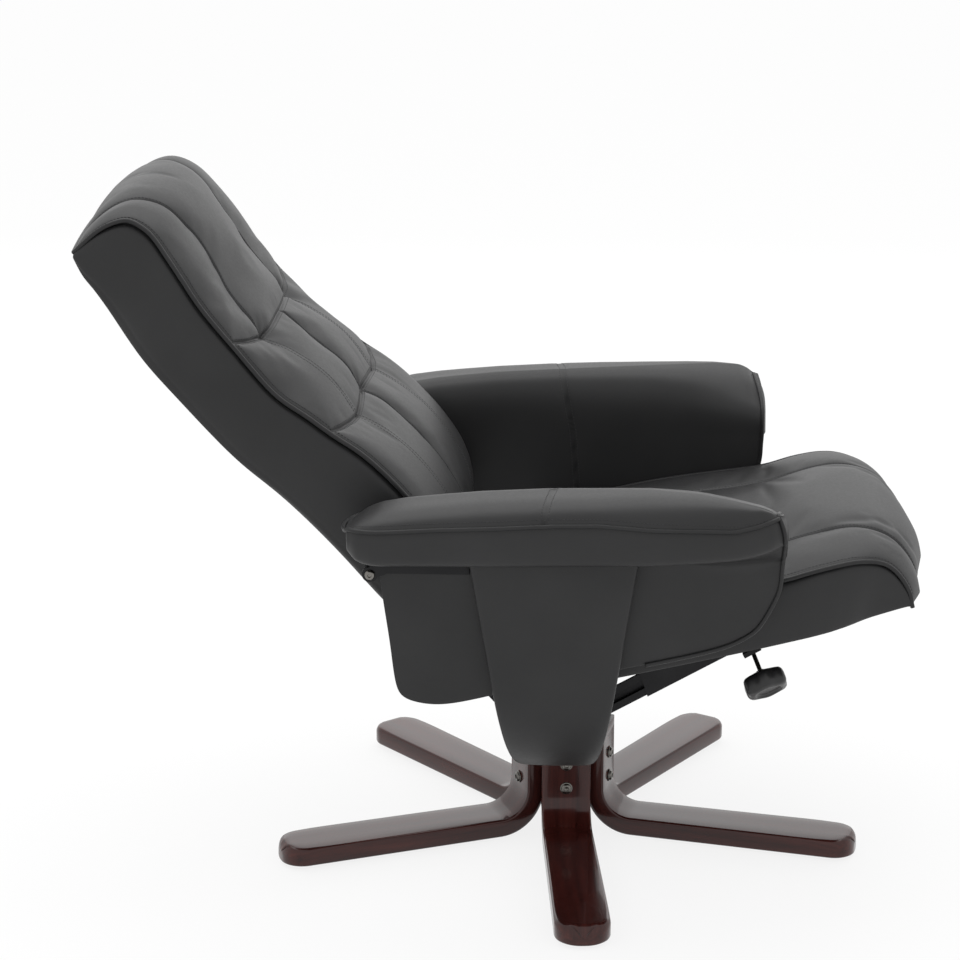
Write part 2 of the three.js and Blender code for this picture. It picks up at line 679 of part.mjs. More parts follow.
// The clamp bracket: a shelf out from the near rail's front end, bored for the clamp's stem
function clampGeometry() {
  const half = clampWidth / 2;
  const far = -(railOffset + railThickness / 2 + restGap);
  const near = far - clampReach;
  const floor = -railWidth / 2;
  const outline = [
    [-half, floor], [half, floor], [half, floor + clampThickness], [-half, floor + clampThickness],
  ].map(([along, off]) => onRail(railFront + along, off));
  const [x, z] = onRail(railFront, floor + clampThickness / 2);
  const seat = new THREE.Vector3(x, near + half, z);
  const hole = bar(
    seat.clone().addScaledVector(clampLean, -clampWidth), seat.clone().addScaledVector(clampLean, clampWidth),
    stemRadius + pinGap, 16);
  return { geometry: cut(plate(outline, near, far), hole), seat };
}

function addFrame(group) {
  const leverInner = backHalfWidth + restGap;
  const leverOuter = leverInner + leverThickness;
  const { geometry: barPlate, inner: barInner } = pivotBarGeometry();
  const barOuter = barInner + pivotBarThickness;
  const sided = [
    ['carrier', carrierGeometry(), leather],
    ['arm_panel', panelGeometry(), leather],
    ['arm_pad', padGeometry(), leather],
    ['pivot_bar', barPlate, blackSteel],
    ['pivot_bolt', pivotBoltGeometry(barOuter, leverInner + restGap), boltSteel],
    ['pivot_spacer', pivotSpacerGeometry(leverOuter + restGap, barInner - restGap), blackSteel],
    ['slide_rail', railGeometry(), blackSteel],
  ];
  sided.forEach(([name, geometry, material]) => {
    group.add(piece(`${name}_far`, geometry, material()));
    group.add(piece(`${name}_near`, mirrored(geometry), material()));
  });
  group.add(piece('swivel_deck', deckGeometry(), blackSteel()));
  deckBolts.forEach(([name, x, y]) => {
    group.add(piece(`deck_bolt_${name}`, deckBoltGeometry(x, y), boltSteel()));
  });
  const tieEnd = railOffset - railThickness / 2 - restGap;
  const [tieX, tieZ] = onRail(railFront - tieRadius, 0);
  group.add(piece('rail_tie', crossBar(tieX, tieZ, -tieEnd, tieEnd, tieRadius, 12), blackSteel()));
}

// Rows of a padded body rise toward its sides where its cross seams do
function paddedBody({ face, underAt, turn, halfWidth, rowShares, columnShares, rowAt, lift }) {
  const columns = [...columnShares.slice(1).map((share) => -share).reverse(), ...columnShares];
  const rings = rowShares.map((row) => {
    const across = columns.map((share) => {
      const at = THREE.MathUtils.clamp(rowAt(row, Math.abs(share)), 0, 1);
      const point = face.getPointAt(at);
      const tangent = face.getTangentAt(at);
      const off = lift(row, Math.abs(share) * halfWidth);
      return new THREE.Vector3(
        point.x + turn * tangent.y * off, share * halfWidth, point.y - turn * tangent.x * off);
    });
    const under = underAt(row);
    return [...across, new THREE.Vector3(under.x, halfWidth, under.y),
      new THREE.Vector3(under.x, -halfWidth, under.y)];
  });
  return loft(rings);
}

// A sewn valley: one at the seam and nothing a width away from it
function valley(distance, width) {
  return Math.max(0, 1 - Math.abs(distance) / width) ** 2;
}

// A pillow between two lines: nothing on them and one halfway
function pillow(at, from, to) {
  const share = (at - from) / (to - from);
  return share > 0 && share < 1 ? Math.sqrt(4 * share * (1 - share)) : 0;
}

const asCurve = (points) => new THREE.SplineCurve(points.map(([x, z]) => new THREE.Vector2(x, z)));
const backPlace = ([along, out]) => [out * backDepth, along * backReach];
const backRear = asCurve(backRearShares.map(backPlace));

// The back's cushion: a headrest pillow between two seams, and two halves below it down to the lumbar roll
function backCushionGeometry() {
  const face = asCurve(backFaceShares.map(backPlace));
  const underAt = (row) => {
    const point = backRear.getPointAt(row);
    return row > backBoardEndShare ? point : point.setX(point.x + backBoardThickness + restGap);
  };
  const length = face.getLength();
  const edge = (y) => 1 - (y / backHalfWidth) ** 2;
  const rise = (share) => THREE.MathUtils.smoothstep(share, headSeamOffset / backHalfWidth, 1);
  const lift = (row, y) => {
    const ends = Math.sin(Math.PI * row) ** 0.4;
    const head = row > neckSeamShare;
    const sideSeam = head ? valley(y - headSeamOffset, backSeamWidth) : 0;
    const middleSeam = head ? 0 : valley(y, backSeamWidth);
    const rowsSeam = Math.max(
      valley((row - neckSeamShare) * length, backSeamWidth), valley((row - lumbarSeamShare) * length, backSeamWidth));
    const across = head
      ? Math.max(pillow(y, headSeamOffset, backHalfWidth), pillow(y, -headSeamOffset, headSeamOffset))
      : pillow(y, 0, backHalfWidth);
    const alongPillow = [0, lumbarSeamShare, neckSeamShare, 1];
    const up = Math.max(...alongPillow.slice(1).map((to, i) => pillow(row, alongPillow[i], to)));
    const inside = THREE.MathUtils.clamp(edge(y) * 6, 0, 1);
    return Math.max(0, backCrown * ends * edge(y) + backPillow * across * up * inside
      - backSeamDepth * inside * Math.max(sideSeam, middleSeam, rowsSeam));
  };
  return paddedBody({
    face,
    underAt,
    turn: 1,
    halfWidth: backHalfWidth,
    rowShares: backRowShares,
    columnShares: backColumnShares,
    rowAt: (row, share) => row + seamRiseShare * rise(share) * pillow(row, 0, 0.9),
    lift,
  });
}

// The plywood board behind the back's cushion
function backBoardGeometry() {
  return loft(backRowShares.filter((row) => row <= backBoardEndShare).map((row) => {
    const { x, y: along } = backRear.getPointAt(row);
    const front = x + backBoardThickness;
    return [[x, -1], [front, -1], [front, 1], [x, 1]].map(
      ([out, side]) => new THREE.Vector3(out, side * backHalfWidth, along));
  }));
}

// Where the seat's link pin sits on the lever: it keeps to the lever's middle line at both ends of travel
const pinTurnReclined = backTilt - travelSlope;
const pinTurnUpright = backSwing - pinTurnReclined;
const pinDistance = seatTravel / (Math.tan(pinTurnReclined) + Math.tan(pinTurnUpright));
const pinReach = pinDistance / Math.cos(Math.max(pinTurnReclined, pinTurnUpright));

// One lever, on the +Y side, from the back's side down past the pivot to the slot that the link rod runs in
function leverGeometry() {
  const inner = backHalfWidth + restGap;
  const outer = inner + leverThickness;
  const half = leverWidth / 2;
  const toe = -pinReach - half;
  const outline = [
    [-half, toe + half / 2], [-half / 2, toe], [half / 2, toe], [half, toe + half / 2],
    [half, leverTop - half / 2], [half / 2, leverTop], [-half / 2, leverTop], [-half, leverTop - half / 2],
  ];
  const hole = crossBar(0, 0, inner - overrun, outer + overrun, pivotPinRadius + pinGap, 16);
  const slotHalf = linkPinRadius + slideGap;
  const low = -pinReach - slotHalf;
  const high = -pinDistance + slotHalf;
  const slot = [
    [-slotHalf / 2, low], [slotHalf / 2, low], [slotHalf, low + slotHalf / 2], [slotHalf, high - slotHalf / 2],
    [slotHalf / 2, high], [-slotHalf / 2, high], [-slotHalf, high - slotHalf / 2], [-slotHalf, low + slotHalf / 2],
  ];
  return cut(plate(outline, inner, outer), hole, plate(slot, inner - overrun, outer + overrun));
}

function addBack(group) {
  const back = new THREE.Group();
  back.position.set(pivotX, 0, pivotZ);
  back.rotation.y = -backTilt;
  back.add(piece('back_cushion', backCushionGeometry(), leather()));
  back.add(piece('back_board', backBoardGeometry(), board()));
  back.add(piece('back_lever_far', leverGeometry(), blackSteel()));
  back.add(piece('back_lever_near', mirrored(leverGeometry()), blackSteel()));
  group.add(back);
}

// A place on the chair's middle plane, seen from the seat's own corner and slope
function inSeat([x, z]) {
  const dx = x - seatX;
  const dz = z - seatZ;
  return [dx * Math.cos(seatTilt) + dz * Math.sin(seatTilt), dz * Math.cos(seatTilt) - dx * Math.sin(seatTilt)];
}

const seatBoardTop = seatBoardHeight - seatBoardDrop;
const seatPanFloor = seatBoardTop + restGap;
const seatPanTop = seatPanFloor + seatPanThickness;
const seatFrontBoard = seatFrontBoardShare * seatLength;
const linkPin = inSeat([pivotX + pinReach * Math.sin(backTilt), pivotZ - pinReach * Math.cos(backTilt)]);

function seatBox(fromX, toX, fromY, toY, fromZ, toZ) {
  const geometry = new THREE.BoxGeometry(toX - fromX, toY - fromY, toZ - fromZ);
  geometry.translate((toX + fromX) / 2, (toY + fromY) / 2, (toZ + fromZ) / 2);
  return outward(geometry);
}

// The seat's cushion: its front rolls down over the front board, and two seams run along it
function seatCushionGeometry() {
  const place = ([along, up]) => [along * seatLength, up * seatHeight];
  const face = asCurve(seatTopShares.map(place));
  const rear = new THREE.Vector2(0, seatPanTop + restGap);
  const corner = new THREE.Vector2(seatFrontBoard + restGap, seatPanTop + restGap);
  const lip = new THREE.Vector2(corner.x, face.getPointAt(1).y);
  const underAt = (row) => (row <= seatCornerRowShare
    ? rear.clone().lerp(corner, row / seatCornerRowShare)
    : corner.clone().lerp(lip, (row - seatCornerRowShare) / (1 - seatCornerRowShare)));
  const edge = (y) => 1 - (y / seatHalfWidth) ** 2;
  const lift = (row, y) => {
    const ends = THREE.MathUtils.smoothstep(row, 0, seatRearEaseShare);
    const across = Math.max(
      pillow(y, seatSeamOffset, seatHalfWidth), pillow(y, -seatSeamOffset, seatSeamOffset));
    const inside = THREE.MathUtils.clamp(edge(y) * 6, 0, 1);
    return Math.max(0, ends * (seatCrown * edge(y) + seatPillow * across * inside
      - seatSeamDepth * valley(y - seatSeamOffset, seatSeamWidth)));
  };
  return paddedBody({
    face,
    underAt,
    turn: -1,
    halfWidth: seatHalfWidth,
    rowShares: seatRowShares,
    columnShares: seatColumnShares,
    rowAt: (row) => row,
    lift,
  });
}

// One runner, on the +Y side: a wedge plate under the pan with two pins through the rail's slot
function runnerGeometry() {
  const inner = railOffset + railThickness / 2 + slideGap;
  const outer = inner + runnerThickness;
  const rearPin = frontPinAt - slidePinDistance;
  const low = [rearPin - runnerMargin, frontPinAt + runnerMargin].map((along) => inSeat(onRail(along, -runnerMargin)));
  const rear = inSeat(onRail(rearPin - runnerMargin, runnerMargin))[0];
  const front = inSeat(onRail(frontPinAt + runnerMargin, 0))[0];
  const top = seatPanFloor - restGap;
  const web = plate([low[0], low[1], [front, low[1][1] + runnerMargin], [front, top], [rear, top]], inner, outer);
  const pins = [rearPin, frontPinAt].map((along) => {
    const [x, z] = inSeat(onRail(along));
    return crossBar(x, z, railOffset - railThickness / 2 - slideGap, outer - runnerThickness / 2, slidePinRadius, 12);
  });
  return join(web, ...pins);
}

// One ear behind the seat's rear board, on the +Y side, with the link rod's hole
function linkEarGeometry() {
  const outer = backHalfWidth - restGap * 2;
  const inner = outer - linkEarThickness;
  const half = linkEarWidth / 2;
  const [x, z] = linkPin;
  const outline = [
    [x - half, z - half / 2], [x - half / 2, z - half], [x + half, z - half], [-restGap, z],
    [-restGap, seatBoardTop - half / 2], [x, z + half], [x - half / 2, z + half], [x - half, z + half / 2],
  ];
  const hole = crossBar(x, z, inner - overrun, outer + overrun, linkPinRadius + pinGap, 16);
  return cut(plate(outline, inner, outer), hole);
}

function addSeat(group) {
  const seat = new THREE.Group();
  seat.position.set(seatX, 0, seatZ);
  seat.rotation.y = -seatTilt;
  const inner = seatHalfWidth - seatBoardThickness;
  const between = inner - restGap;
  seat.add(piece('seat_cushion', seatCushionGeometry(), leather()));
  seat.add(piece('seat_pan', seatBox(
    0, seatFrontBoard, -seatHalfWidth, seatHalfWidth, seatPanFloor, seatPanTop), board()));
  [['far', 1], ['near', -1]].forEach(([side, sign]) => {
    const ends = [sign * inner, sign * seatHalfWidth].sort((a, b) => a - b);
    seat.add(piece(`seat_side_board_${side}`, seatBox(
      0, seatFrontBoard, ends[0], ends[1], -seatBoardDrop, seatBoardTop), leather()));
  });
  seat.add(piece('seat_rear_board', seatBox(
    0, seatBoardThickness, -between, between, -seatBoardDrop, seatBoardTop), board()));
  seat.add(piece('seat_front_board', seatBox(
    seatFrontBoard - seatBoardThickness, seatFrontBoard, -between, between, -seatBoardDrop, seatBoardTop), board()));
  [['seat_runner', runnerGeometry()], ['link_ear', linkEarGeometry()]].forEach(([name, geometry]) => {
    seat.add(piece(`${name}_far`, geometry, blackSteel()));
    seat.add(piece(`${name}_near`, mirrored(geometry), blackSteel()));
  });
  const rodEnd = backHalfWidth + leverThickness + slideGap * 3;
  seat.add(piece('link_rod', crossBar(linkPin[0], linkPin[1], -rodEnd, rodEnd, linkPinRadius, 16), blackSteel()));
  group.add(seat);
}

// The clamp: a bracket on the near rail, and the lobed knob on its stem
function addClamp(group) {
  const { geometry: bracket, seat } = clampGeometry();
  group.add(piece('clamp_bracket', bracket, blackSteel()));
  const knobStart = seat.clone().addScaledVector(clampLean, stemLength);
  const stem = bar(
    seat.clone().addScaledVector(clampLean, -stemTail),
    knobStart.clone().addScaledVector(clampLean, knobHeight / 2), stemRadius, 12);
  const points = [];
  const steps = knobLobes * 6;
  for (let i = 0; i < steps; i += 1) {
    const angle = 2 * Math.PI * i / steps;
    const radius = knobRadius - knobLobeDepth * (1 - Math.cos(knobLobes * angle)) / 2;
    points.push([radius * Math.cos(angle), radius * Math.sin(angle)]);
  }
  const turn = new THREE.Quaternion().setFromUnitVectors(new THREE.Vector3(0, 0, 1), clampLean);
  const rings = knobSectionShares.map(([up, size]) => points.map(
    ([x, y]) => new THREE.Vector3(x * size, y * size, up * knobHeight).applyQuaternion(turn).add(knobStart)));
  group.add(piece('clamp_knob', join(loft(rings), stem), nylon()));
}

const chair = new THREE.Group();
addBase(chair);
addFrame(chair);
addBack(chair);
addSeat(chair);
addClamp(chair);

// The origin is on the floor, under the middle of the whole chair
chair.updateMatrixWorld(true);
const bounds = new THREE.Box3().setFromObject(chair, true);
const middle = bounds.getCenter(new THREE.Vector3());
chair.position.set(-middle.x, -middle.y, -bounds.min.z);

export default chair;
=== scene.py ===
import json
import math
from types import SimpleNamespace

import bmesh
import bpy
import numpy as np
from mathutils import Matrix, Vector


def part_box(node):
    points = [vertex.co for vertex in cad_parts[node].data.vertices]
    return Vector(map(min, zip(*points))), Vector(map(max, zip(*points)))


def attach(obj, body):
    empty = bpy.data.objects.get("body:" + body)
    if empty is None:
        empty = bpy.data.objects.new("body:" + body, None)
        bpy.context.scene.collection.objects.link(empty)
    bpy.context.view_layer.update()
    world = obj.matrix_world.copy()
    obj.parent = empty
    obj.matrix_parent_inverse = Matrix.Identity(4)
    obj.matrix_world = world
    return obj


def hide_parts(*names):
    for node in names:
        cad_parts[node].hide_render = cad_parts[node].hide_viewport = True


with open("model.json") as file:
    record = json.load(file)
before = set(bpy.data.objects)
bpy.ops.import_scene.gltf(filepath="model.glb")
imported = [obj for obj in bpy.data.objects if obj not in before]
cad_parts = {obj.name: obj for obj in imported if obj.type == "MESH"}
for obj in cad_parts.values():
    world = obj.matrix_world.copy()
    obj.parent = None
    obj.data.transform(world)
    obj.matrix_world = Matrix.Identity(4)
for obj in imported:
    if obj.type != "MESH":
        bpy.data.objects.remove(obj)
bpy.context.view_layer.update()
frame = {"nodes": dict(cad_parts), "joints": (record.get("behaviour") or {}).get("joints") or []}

MM = 0.001
SIDES = (("near", -1), ("far", 1))
EAST = np.array([0.0, 1, 0])

# Places from the frame's joints and boxes, and the slopes of the back and the seat
JOINTS = {joint["name"]: joint for joint in frame["joints"]}
AXIS_X, AXIS_Y, _ = JOINTS["swivel"]["pos_m"]
PIVOT_X, _, PIVOT_Z = JOINTS["recline"]["pos_m"]
BACK_TILT = math.radians(42)
SEAT_TILT = math.radians(14)
SEAT_BOARD_TOP = 34 * MM
SEAT_BOARD_FLOOR = -4 * MM
board_low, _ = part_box("seat_side_board_near")
SEAT_X = board_low.x + SEAT_BOARD_TOP * math.sin(SEAT_TILT)
SEAT_Z = board_low.z - SEAT_BOARD_FLOOR * math.cos(SEAT_TILT)

# Widths, from the chair's middle plane
BACK_HALF = 235
SEAT_HALF = 255
ARM_INSIDE = 262

# Leather: the grid's steps, its seams and stitches, and the cloth that fills it
GRID_STEP, GRID_FINE, GRID_REACH = 6, 1.4, 8
SEAM_DEPTH, SEAM_WIDTH, SEAM_EDGE = 1.8, 2.4, 6
# width in millimetres of the painted shade along each seam groove
PAINTED_SEAM_SHADE = 1.6
STITCH_OFFSET = 4.5
STITCH_PITCH, STITCH_LENGTH, STITCH_RADIUS = 4.6 * MM, 3.3 * MM, 0.42 * MM
PIPING_SIDES = 10
CLOTH_FRAMES = 20
CLOTH_QUALITY = 6
CLOTH_MASS = 0.4
CLOTH_BENDING = 0.8
CLOTH_PRESSURE = 4
CLOTH_SLACK = 0.006
CLOTH_CAP = 9
CLOTH_HELD, CLOTH_FREE = 3, 8


# Curves and grids
def spline(points, steps=900):
    """A smooth line through the points, as many close places along it."""
    p = np.array(points, float)
    knots = np.r_[0, np.cumsum(np.sqrt(np.linalg.norm(np.diff(p, axis=0), axis=1)))]
    h = np.diff(knots)
    count = len(p)
    left = np.eye(count)
    right = np.zeros_like(p)
    for i in range(1, count - 1):
        left[i, i - 1 : i + 2] = h[i - 1], 2 * (h[i - 1] + h[i]), h[i]
        right[i] = 6 * ((p[i + 1] - p[i]) / h[i] - (p[i] - p[i - 1]) / h[i - 1])
    bend = np.linalg.solve(left, right)
    fine = np.linspace(0, knots[-1], steps)
    i = np.clip(np.searchsorted(knots, fine, side="right") - 1, 0, count - 2)
    after = (fine - knots[i])[:, None]
    before = h[i][:, None] - after
    width = h[i][:, None]
    return (
        (bend[i] * before**3 + bend[i + 1] * after**3) / (6 * width)
        + (p[i] / width - bend[i] * width / 6) * before
        + (p[i + 1] / width - bend[i + 1] * width / 6) * after
    )


def run_of(line):
    """Distance along a line at each of its points."""
    return np.r_[0, np.cumsum(np.linalg.norm(np.diff(line, axis=0), axis=1))]


def along(line, shares):
    """Places at shares of the line's length."""
    run = run_of(line)
    at = np.asarray(shares, float) * run[-1]
    return np.stack([np.interp(at, run, line[:, k]) for k in range(line.shape[1])], axis=1)


def swept(points, steps, count):
    """A number of even places on a smooth line, without its first point."""
    return along(spline(points, steps), np.linspace(0, 1, count + 1)[1:])


def table(pairs, at):
    """A value read from a table of places and values, in straight lines between them."""
    places, values = np.array(pairs, float).T
    return np.interp(at, places, values)


def eased(pairs, at, reach):
    """A value read from a table, averaged over a reach to each side so that it has no kinks."""
    offsets = np.linspace(-reach, reach, 9)
    return sum(table(pairs, at + o) for o in offsets) / len(offsets)


def normals_of(line):
    """The left-hand normals of a flat line."""
    tangent = np.gradient(line, axis=0)
    tangent /= np.linalg.norm(tangent, axis=1)[:, None]
    return np.stack([-tangent[:, 1], tangent[:, 0]], axis=1)


def seam_distance(s, y, lines):
    """Distance on a flat sheet from each place to the nearest of some polylines."""
    nearest = np.full(s.shape, 1e6)
    for line in lines:
        for (s0, y0), (s1, y1) in zip(line[:-1], line[1:]):
            ds, dy = s1 - s0, y1 - y0
            t = np.clip(((s - s0) * ds + (y - y0) * dy) / (ds * ds + dy * dy), 0, 1)
            nearest = np.minimum(nearest, np.hypot(s - s0 - t * ds, y - y0 - t * dy))
    return nearest


def puffed(distance, reach):
    """How far a stuffed panel has risen at a distance from its seam: 0 at the seam, 1 past the reach."""
    t = np.clip(distance / reach, 0, 1)
    return np.sqrt(1 - (1 - t) ** 2)


def graded(low, high, lines, half=1):
    """Places from low to high in shares of a half width, closer together beside each line."""
    step, fine, reach = GRID_STEP / half, GRID_FINE / half, GRID_REACH / half
    places = np.linspace(low, high, 4000)
    pace = np.full(places.shape, 1 / step)
    for line in lines:
        pace += (1 / fine - 1 / step) * bell(places - line, reach)
    count = np.r_[0, np.cumsum((pace[1:] + pace[:-1]) / 2 * np.diff(places))]
    return np.interp(np.linspace(0, count[-1], int(count[-1]) + 1), count, places)


def bell(distance, width):
    """One at no distance, falling off smoothly over a width."""
    return np.exp(-((distance / width) ** 2))


def hat(at, middle, reach):
    """One at the middle, easing to nothing a reach away."""
    t = np.clip(1 - np.abs(at - middle) / reach, 0, 1)
    return t * t * (3 - 2 * t)


def bulged(t, height, power=2):
    """How far a strip stands out between its two edges."""
    return height * (1 - np.abs(2 * t - 1) ** power)


def both_sides(line):
    """A seam line and its mirror image across the chair."""
    return [line, [(s, -y) for s, y in line]]


def fanned(spread, seam_share, side, half):
    """How far across a sheet's columns lie: they follow the side seam at its share of the spread."""
    far = np.abs(spread)
    inside = far / seam_share * side
    outside = side + (far - seam_share) / (1 - seam_share) * (half - side)
    return np.sign(spread) * np.where(far < seam_share, inside, outside)


def creased(s, y, first, second, edge):
    """Shallow creases that cross: each set has its wave lengths along and across, and its bend."""
    wave = np.sin(s / first[0] + first[2] * np.sin(y / first[1]))
    cross = np.sin(y / second[0] + second[2] * np.sin(s / second[1]))
    return wave * cross * np.clip(edge / 30, 0, 1)


# Meshes
def add_mesh(name, points, faces, material, seam=None):
    mesh = bpy.data.meshes.new(name)
    mesh.from_pydata([tuple(p) for p in points], [], faces)
    mesh.validate()
    # the seam attribute holds painted shade for the seam grooves and for the gap under the piping
    if seam is not None:
        attribute = mesh.attributes.new("seam", "FLOAT", "POINT")
        attribute.data.foreach_set("value", np.asarray(seam, np.float32))
    mesh.materials.append(material)
    for polygon in mesh.polygons:
        polygon.use_smooth = True
    obj = bpy.data.objects.new(name, mesh)
    bpy.context.scene.collection.objects.link(obj)
    return obj


def placed(obj, body, slot, *replaced):
    """Fixes a piece to its body, and hides the frame's nodes that it replaces. The slot is not used."""
    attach(obj, body)
    if replaced:
        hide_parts(*replaced)


def face_outward(obj):
    bm = bmesh.new()
    bm.from_mesh(obj.data)
    bmesh.ops.recalc_face_normals(bm, faces=bm.faces)
    bm.to_mesh(obj.data)
    bm.free()
    return obj


def subdivided(obj):
    modifier = obj.modifiers.new("fine", "SUBSURF")
    modifier.levels = 1
    modifier.render_levels = 1
    return obj


def bevelled(obj, width, segments=2):
    """Rounds a piece's sharp edges by a width in millimetres."""
    modifier = obj.modifiers.new("edges", "BEVEL")
    modifier.width = width * MM
    modifier.segments = segments
    modifier.limit_method = "ANGLE"
    return obj


def quads_of(rows, columns):
    """The faces of a grid of points, row by row."""
    grid = np.arange(rows * columns).reshape(rows, columns)
    quads = np.stack([grid[:-1, :-1], grid[1:, :-1], grid[1:, 1:], grid[:-1, 1:]], axis=-1)
    return quads.reshape(-1, 4)


def shell(name, a, b, between, strip_out, strips, cap_out, caps, seam, gap=None):
    """A closed leather skin: two sheets, two strips that join their long edges, and two caps.

    a and b are grids of points. between lists the shares of the way from a to b where the strips and
    caps have points. strips(end, t) and caps(end, t) say how many millimetres they stand out along
    strip_out[end] and cap_out[end]. seam paints shade along the seam grooves of the two sheets, and
    gap(t) paints shade along the strips, in the gap under the piping.
    """
    t = np.r_[0, between, 1]
    points = a[:, :, None] + (b - a)[:, :, None] * t[None, None, :, None]
    for end in (0, -1):
        points[:, end] += strips(end, t)[..., None] * MM * strip_out[end]
    for end in (0, -1):
        points[end] += caps(end, t)[..., None] * MM * cap_out[end]
    shown = np.ones(points.shape[:3], bool)
    shown[1:-1, 1:-1, 1:-1] = False
    index = np.full(shown.shape, -1)
    index[shown] = np.arange(shown.sum())
    faces = []
    for end in (0, -1):
        for grid in (index[:, :, end], index[:, end, :], index[end, :, :]):
            faces.extend(grid.ravel()[quads_of(*grid.shape)].tolist())
    # painted shade from 0 to 1: the seam grooves of the sheets and the gap under the piping on the strips
    painted_shade = np.zeros(shown.shape)
    if gap is not None:
        painted_shade[:, [0, -1], :] = gap(t)
    painted_shade[:, :, 0], painted_shade[:, :, -1] = seam
    return face_outward(add_mesh(name, points[shown], faces, leather, painted_shade[shown]))


def loft(name, rings, material):
    """A closed body through rings with the same number of points."""
    rings = np.asarray(rings, float)
    rows, sides = rings.shape[:2]
    faces = []
    for r in range(rows - 1):
        for i in range(sides):
            j = (i + 1) % sides
            faces.append([r * sides + i, r * sides + j, (r + 1) * sides + j, (r + 1) * sides + i])
    faces.append(list(range(sides))[::-1])
    faces.append([(rows - 1) * sides + i for i in range(sides)])
    return face_outward(add_mesh(name, rings.reshape(-1, 3), faces, material))


def add_piping(name, path, radius, body):
    """A round cord of leather along a line of points, closed at its ends. The radius is in millimetres."""
    radius = radius * MM
    path = np.asarray(path, float)
    path = path[np.r_[True, np.linalg.norm(np.diff(path, axis=0), axis=1) > radius * 0.05]]
    tangent = np.gradient(path, axis=0)
    tangent /= np.linalg.norm(tangent, axis=1)[:, None]
    across = np.cross(tangent[0], (0.3, 0.5, 0.81))
    across /= np.linalg.norm(across)
    angles = np.linspace(0, 2 * math.pi, PIPING_SIDES, endpoint=False)
    rings = []
    for place, direction in zip(path, tangent):
        across = across - direction * across.dot(direction)
        across /= np.linalg.norm(across)
        other = np.cross(direction, across)
        rings.append([place + radius * (math.cos(a) * across + math.sin(a) * other) for a in angles])
    placed(loft(name, rings, piping_leather), body, "black_leather")


def regrid(values, rows_from, columns_from, rows_to, columns_to):
    """Values on one grid, read on another and averaged over a cell so that no cell edge shows."""
    total = 0
    row_step = np.diff(rows_from).mean() / 2
    column_step = np.diff(columns_from).mean() / 2
    for shift in (-1, 0, 1):
        at = rows_to + shift * row_step
        rows = np.stack([np.interp(at, rows_from, column) for column in values.T], axis=1)
        for slide in (-1, 0, 1):
            at = columns_to + slide * column_step
            total = total + np.stack([np.interp(at, columns_from, row) for row in rows])
    return total / 9


def settled(points, outward, held):
    """How far a sheet of leather, held at its seams, swells along outward when its filling presses."""
    rows, columns = points.shape[:2]
    faces = quads_of(rows, columns)
    flat = points.reshape(-1, 3)
    p0, p1, p3 = (flat[faces[:, k]] for k in (0, 1, 3))
    facing = (np.cross(p1 - p0, p3 - p0) * outward.reshape(-1, 3)[faces[:, 0]]).sum()
    if facing < 0:
        faces = faces[:, ::-1]
    sheet = add_mesh("cloth_sheet", flat, faces.tolist(), leather)
    group = sheet.vertex_groups.new(name="held")
    for i, weight in enumerate(held.ravel()):
        group.add([i], float(weight), "REPLACE")
    cloth = sheet.modifiers.new("cloth", "CLOTH")
    cloth.point_cache.frame_end = CLOTH_FRAMES
    cloth.collision_settings.use_collision = False
    settings = cloth.settings
    settings.quality = CLOTH_QUALITY
    settings.mass = CLOTH_MASS
    settings.bending_stiffness = CLOTH_BENDING
    settings.vertex_group_mass = "held"
    settings.shrink_min = -CLOTH_SLACK
    settings.use_pressure = True
    settings.uniform_pressure_force = CLOTH_PRESSURE
    settings.effector_weights.gravity = 0
    for number in range(1, CLOTH_FRAMES + 1):
        bpy.context.scene.frame_set(number)
    seen = sheet.evaluated_get(bpy.context.evaluated_depsgraph_get())
    moved = np.empty(rows * columns * 3, np.float32)
    seen.data.vertices.foreach_get("co", moved)
    bpy.context.scene.frame_set(1)
    bpy.data.objects.remove(sheet)
    rise = ((moved.reshape(points.shape) - points) * outward).sum(axis=-1) / MM
    return np.clip(rise, -CLOTH_CAP / 3, CLOTH_CAP)


def raised(points, sheet):
    """The points of a sheet, lifted along its normals."""
    first, second = (sheet.place[..., k] + sheet.normal[..., k] * sheet.lift for k in (0, 1))
    return points(first, second, sheet.y)


def filled(points, shape, fine, coarse):
    """A padded sheet on a fine grid, with the swell of cloth on a coarse one, and its seams drawn in."""
    sheet = shape(*fine)
    rough = shape(*coarse)
    start = points(0, 0, 0)
    outward = (points(rough.normal[..., 0], rough.normal[..., 1], 0 * rough.y) - start) / MM
    inward = np.minimum(rough.distance, rough.edge)
    held = np.clip(1 - (inward - CLOTH_HELD) / (CLOTH_FREE - CLOTH_HELD), 0, 1)
    sheet.lift = sheet.lift + regrid(settled(raised(points, rough), outward, held), *coarse, *fine)
    seam = SEAM_DEPTH * bell(sheet.distance, SEAM_WIDTH)
    sheet.lift = sheet.lift - seam * np.clip(sheet.edge / SEAM_EDGE, 0, 1)
    return sheet


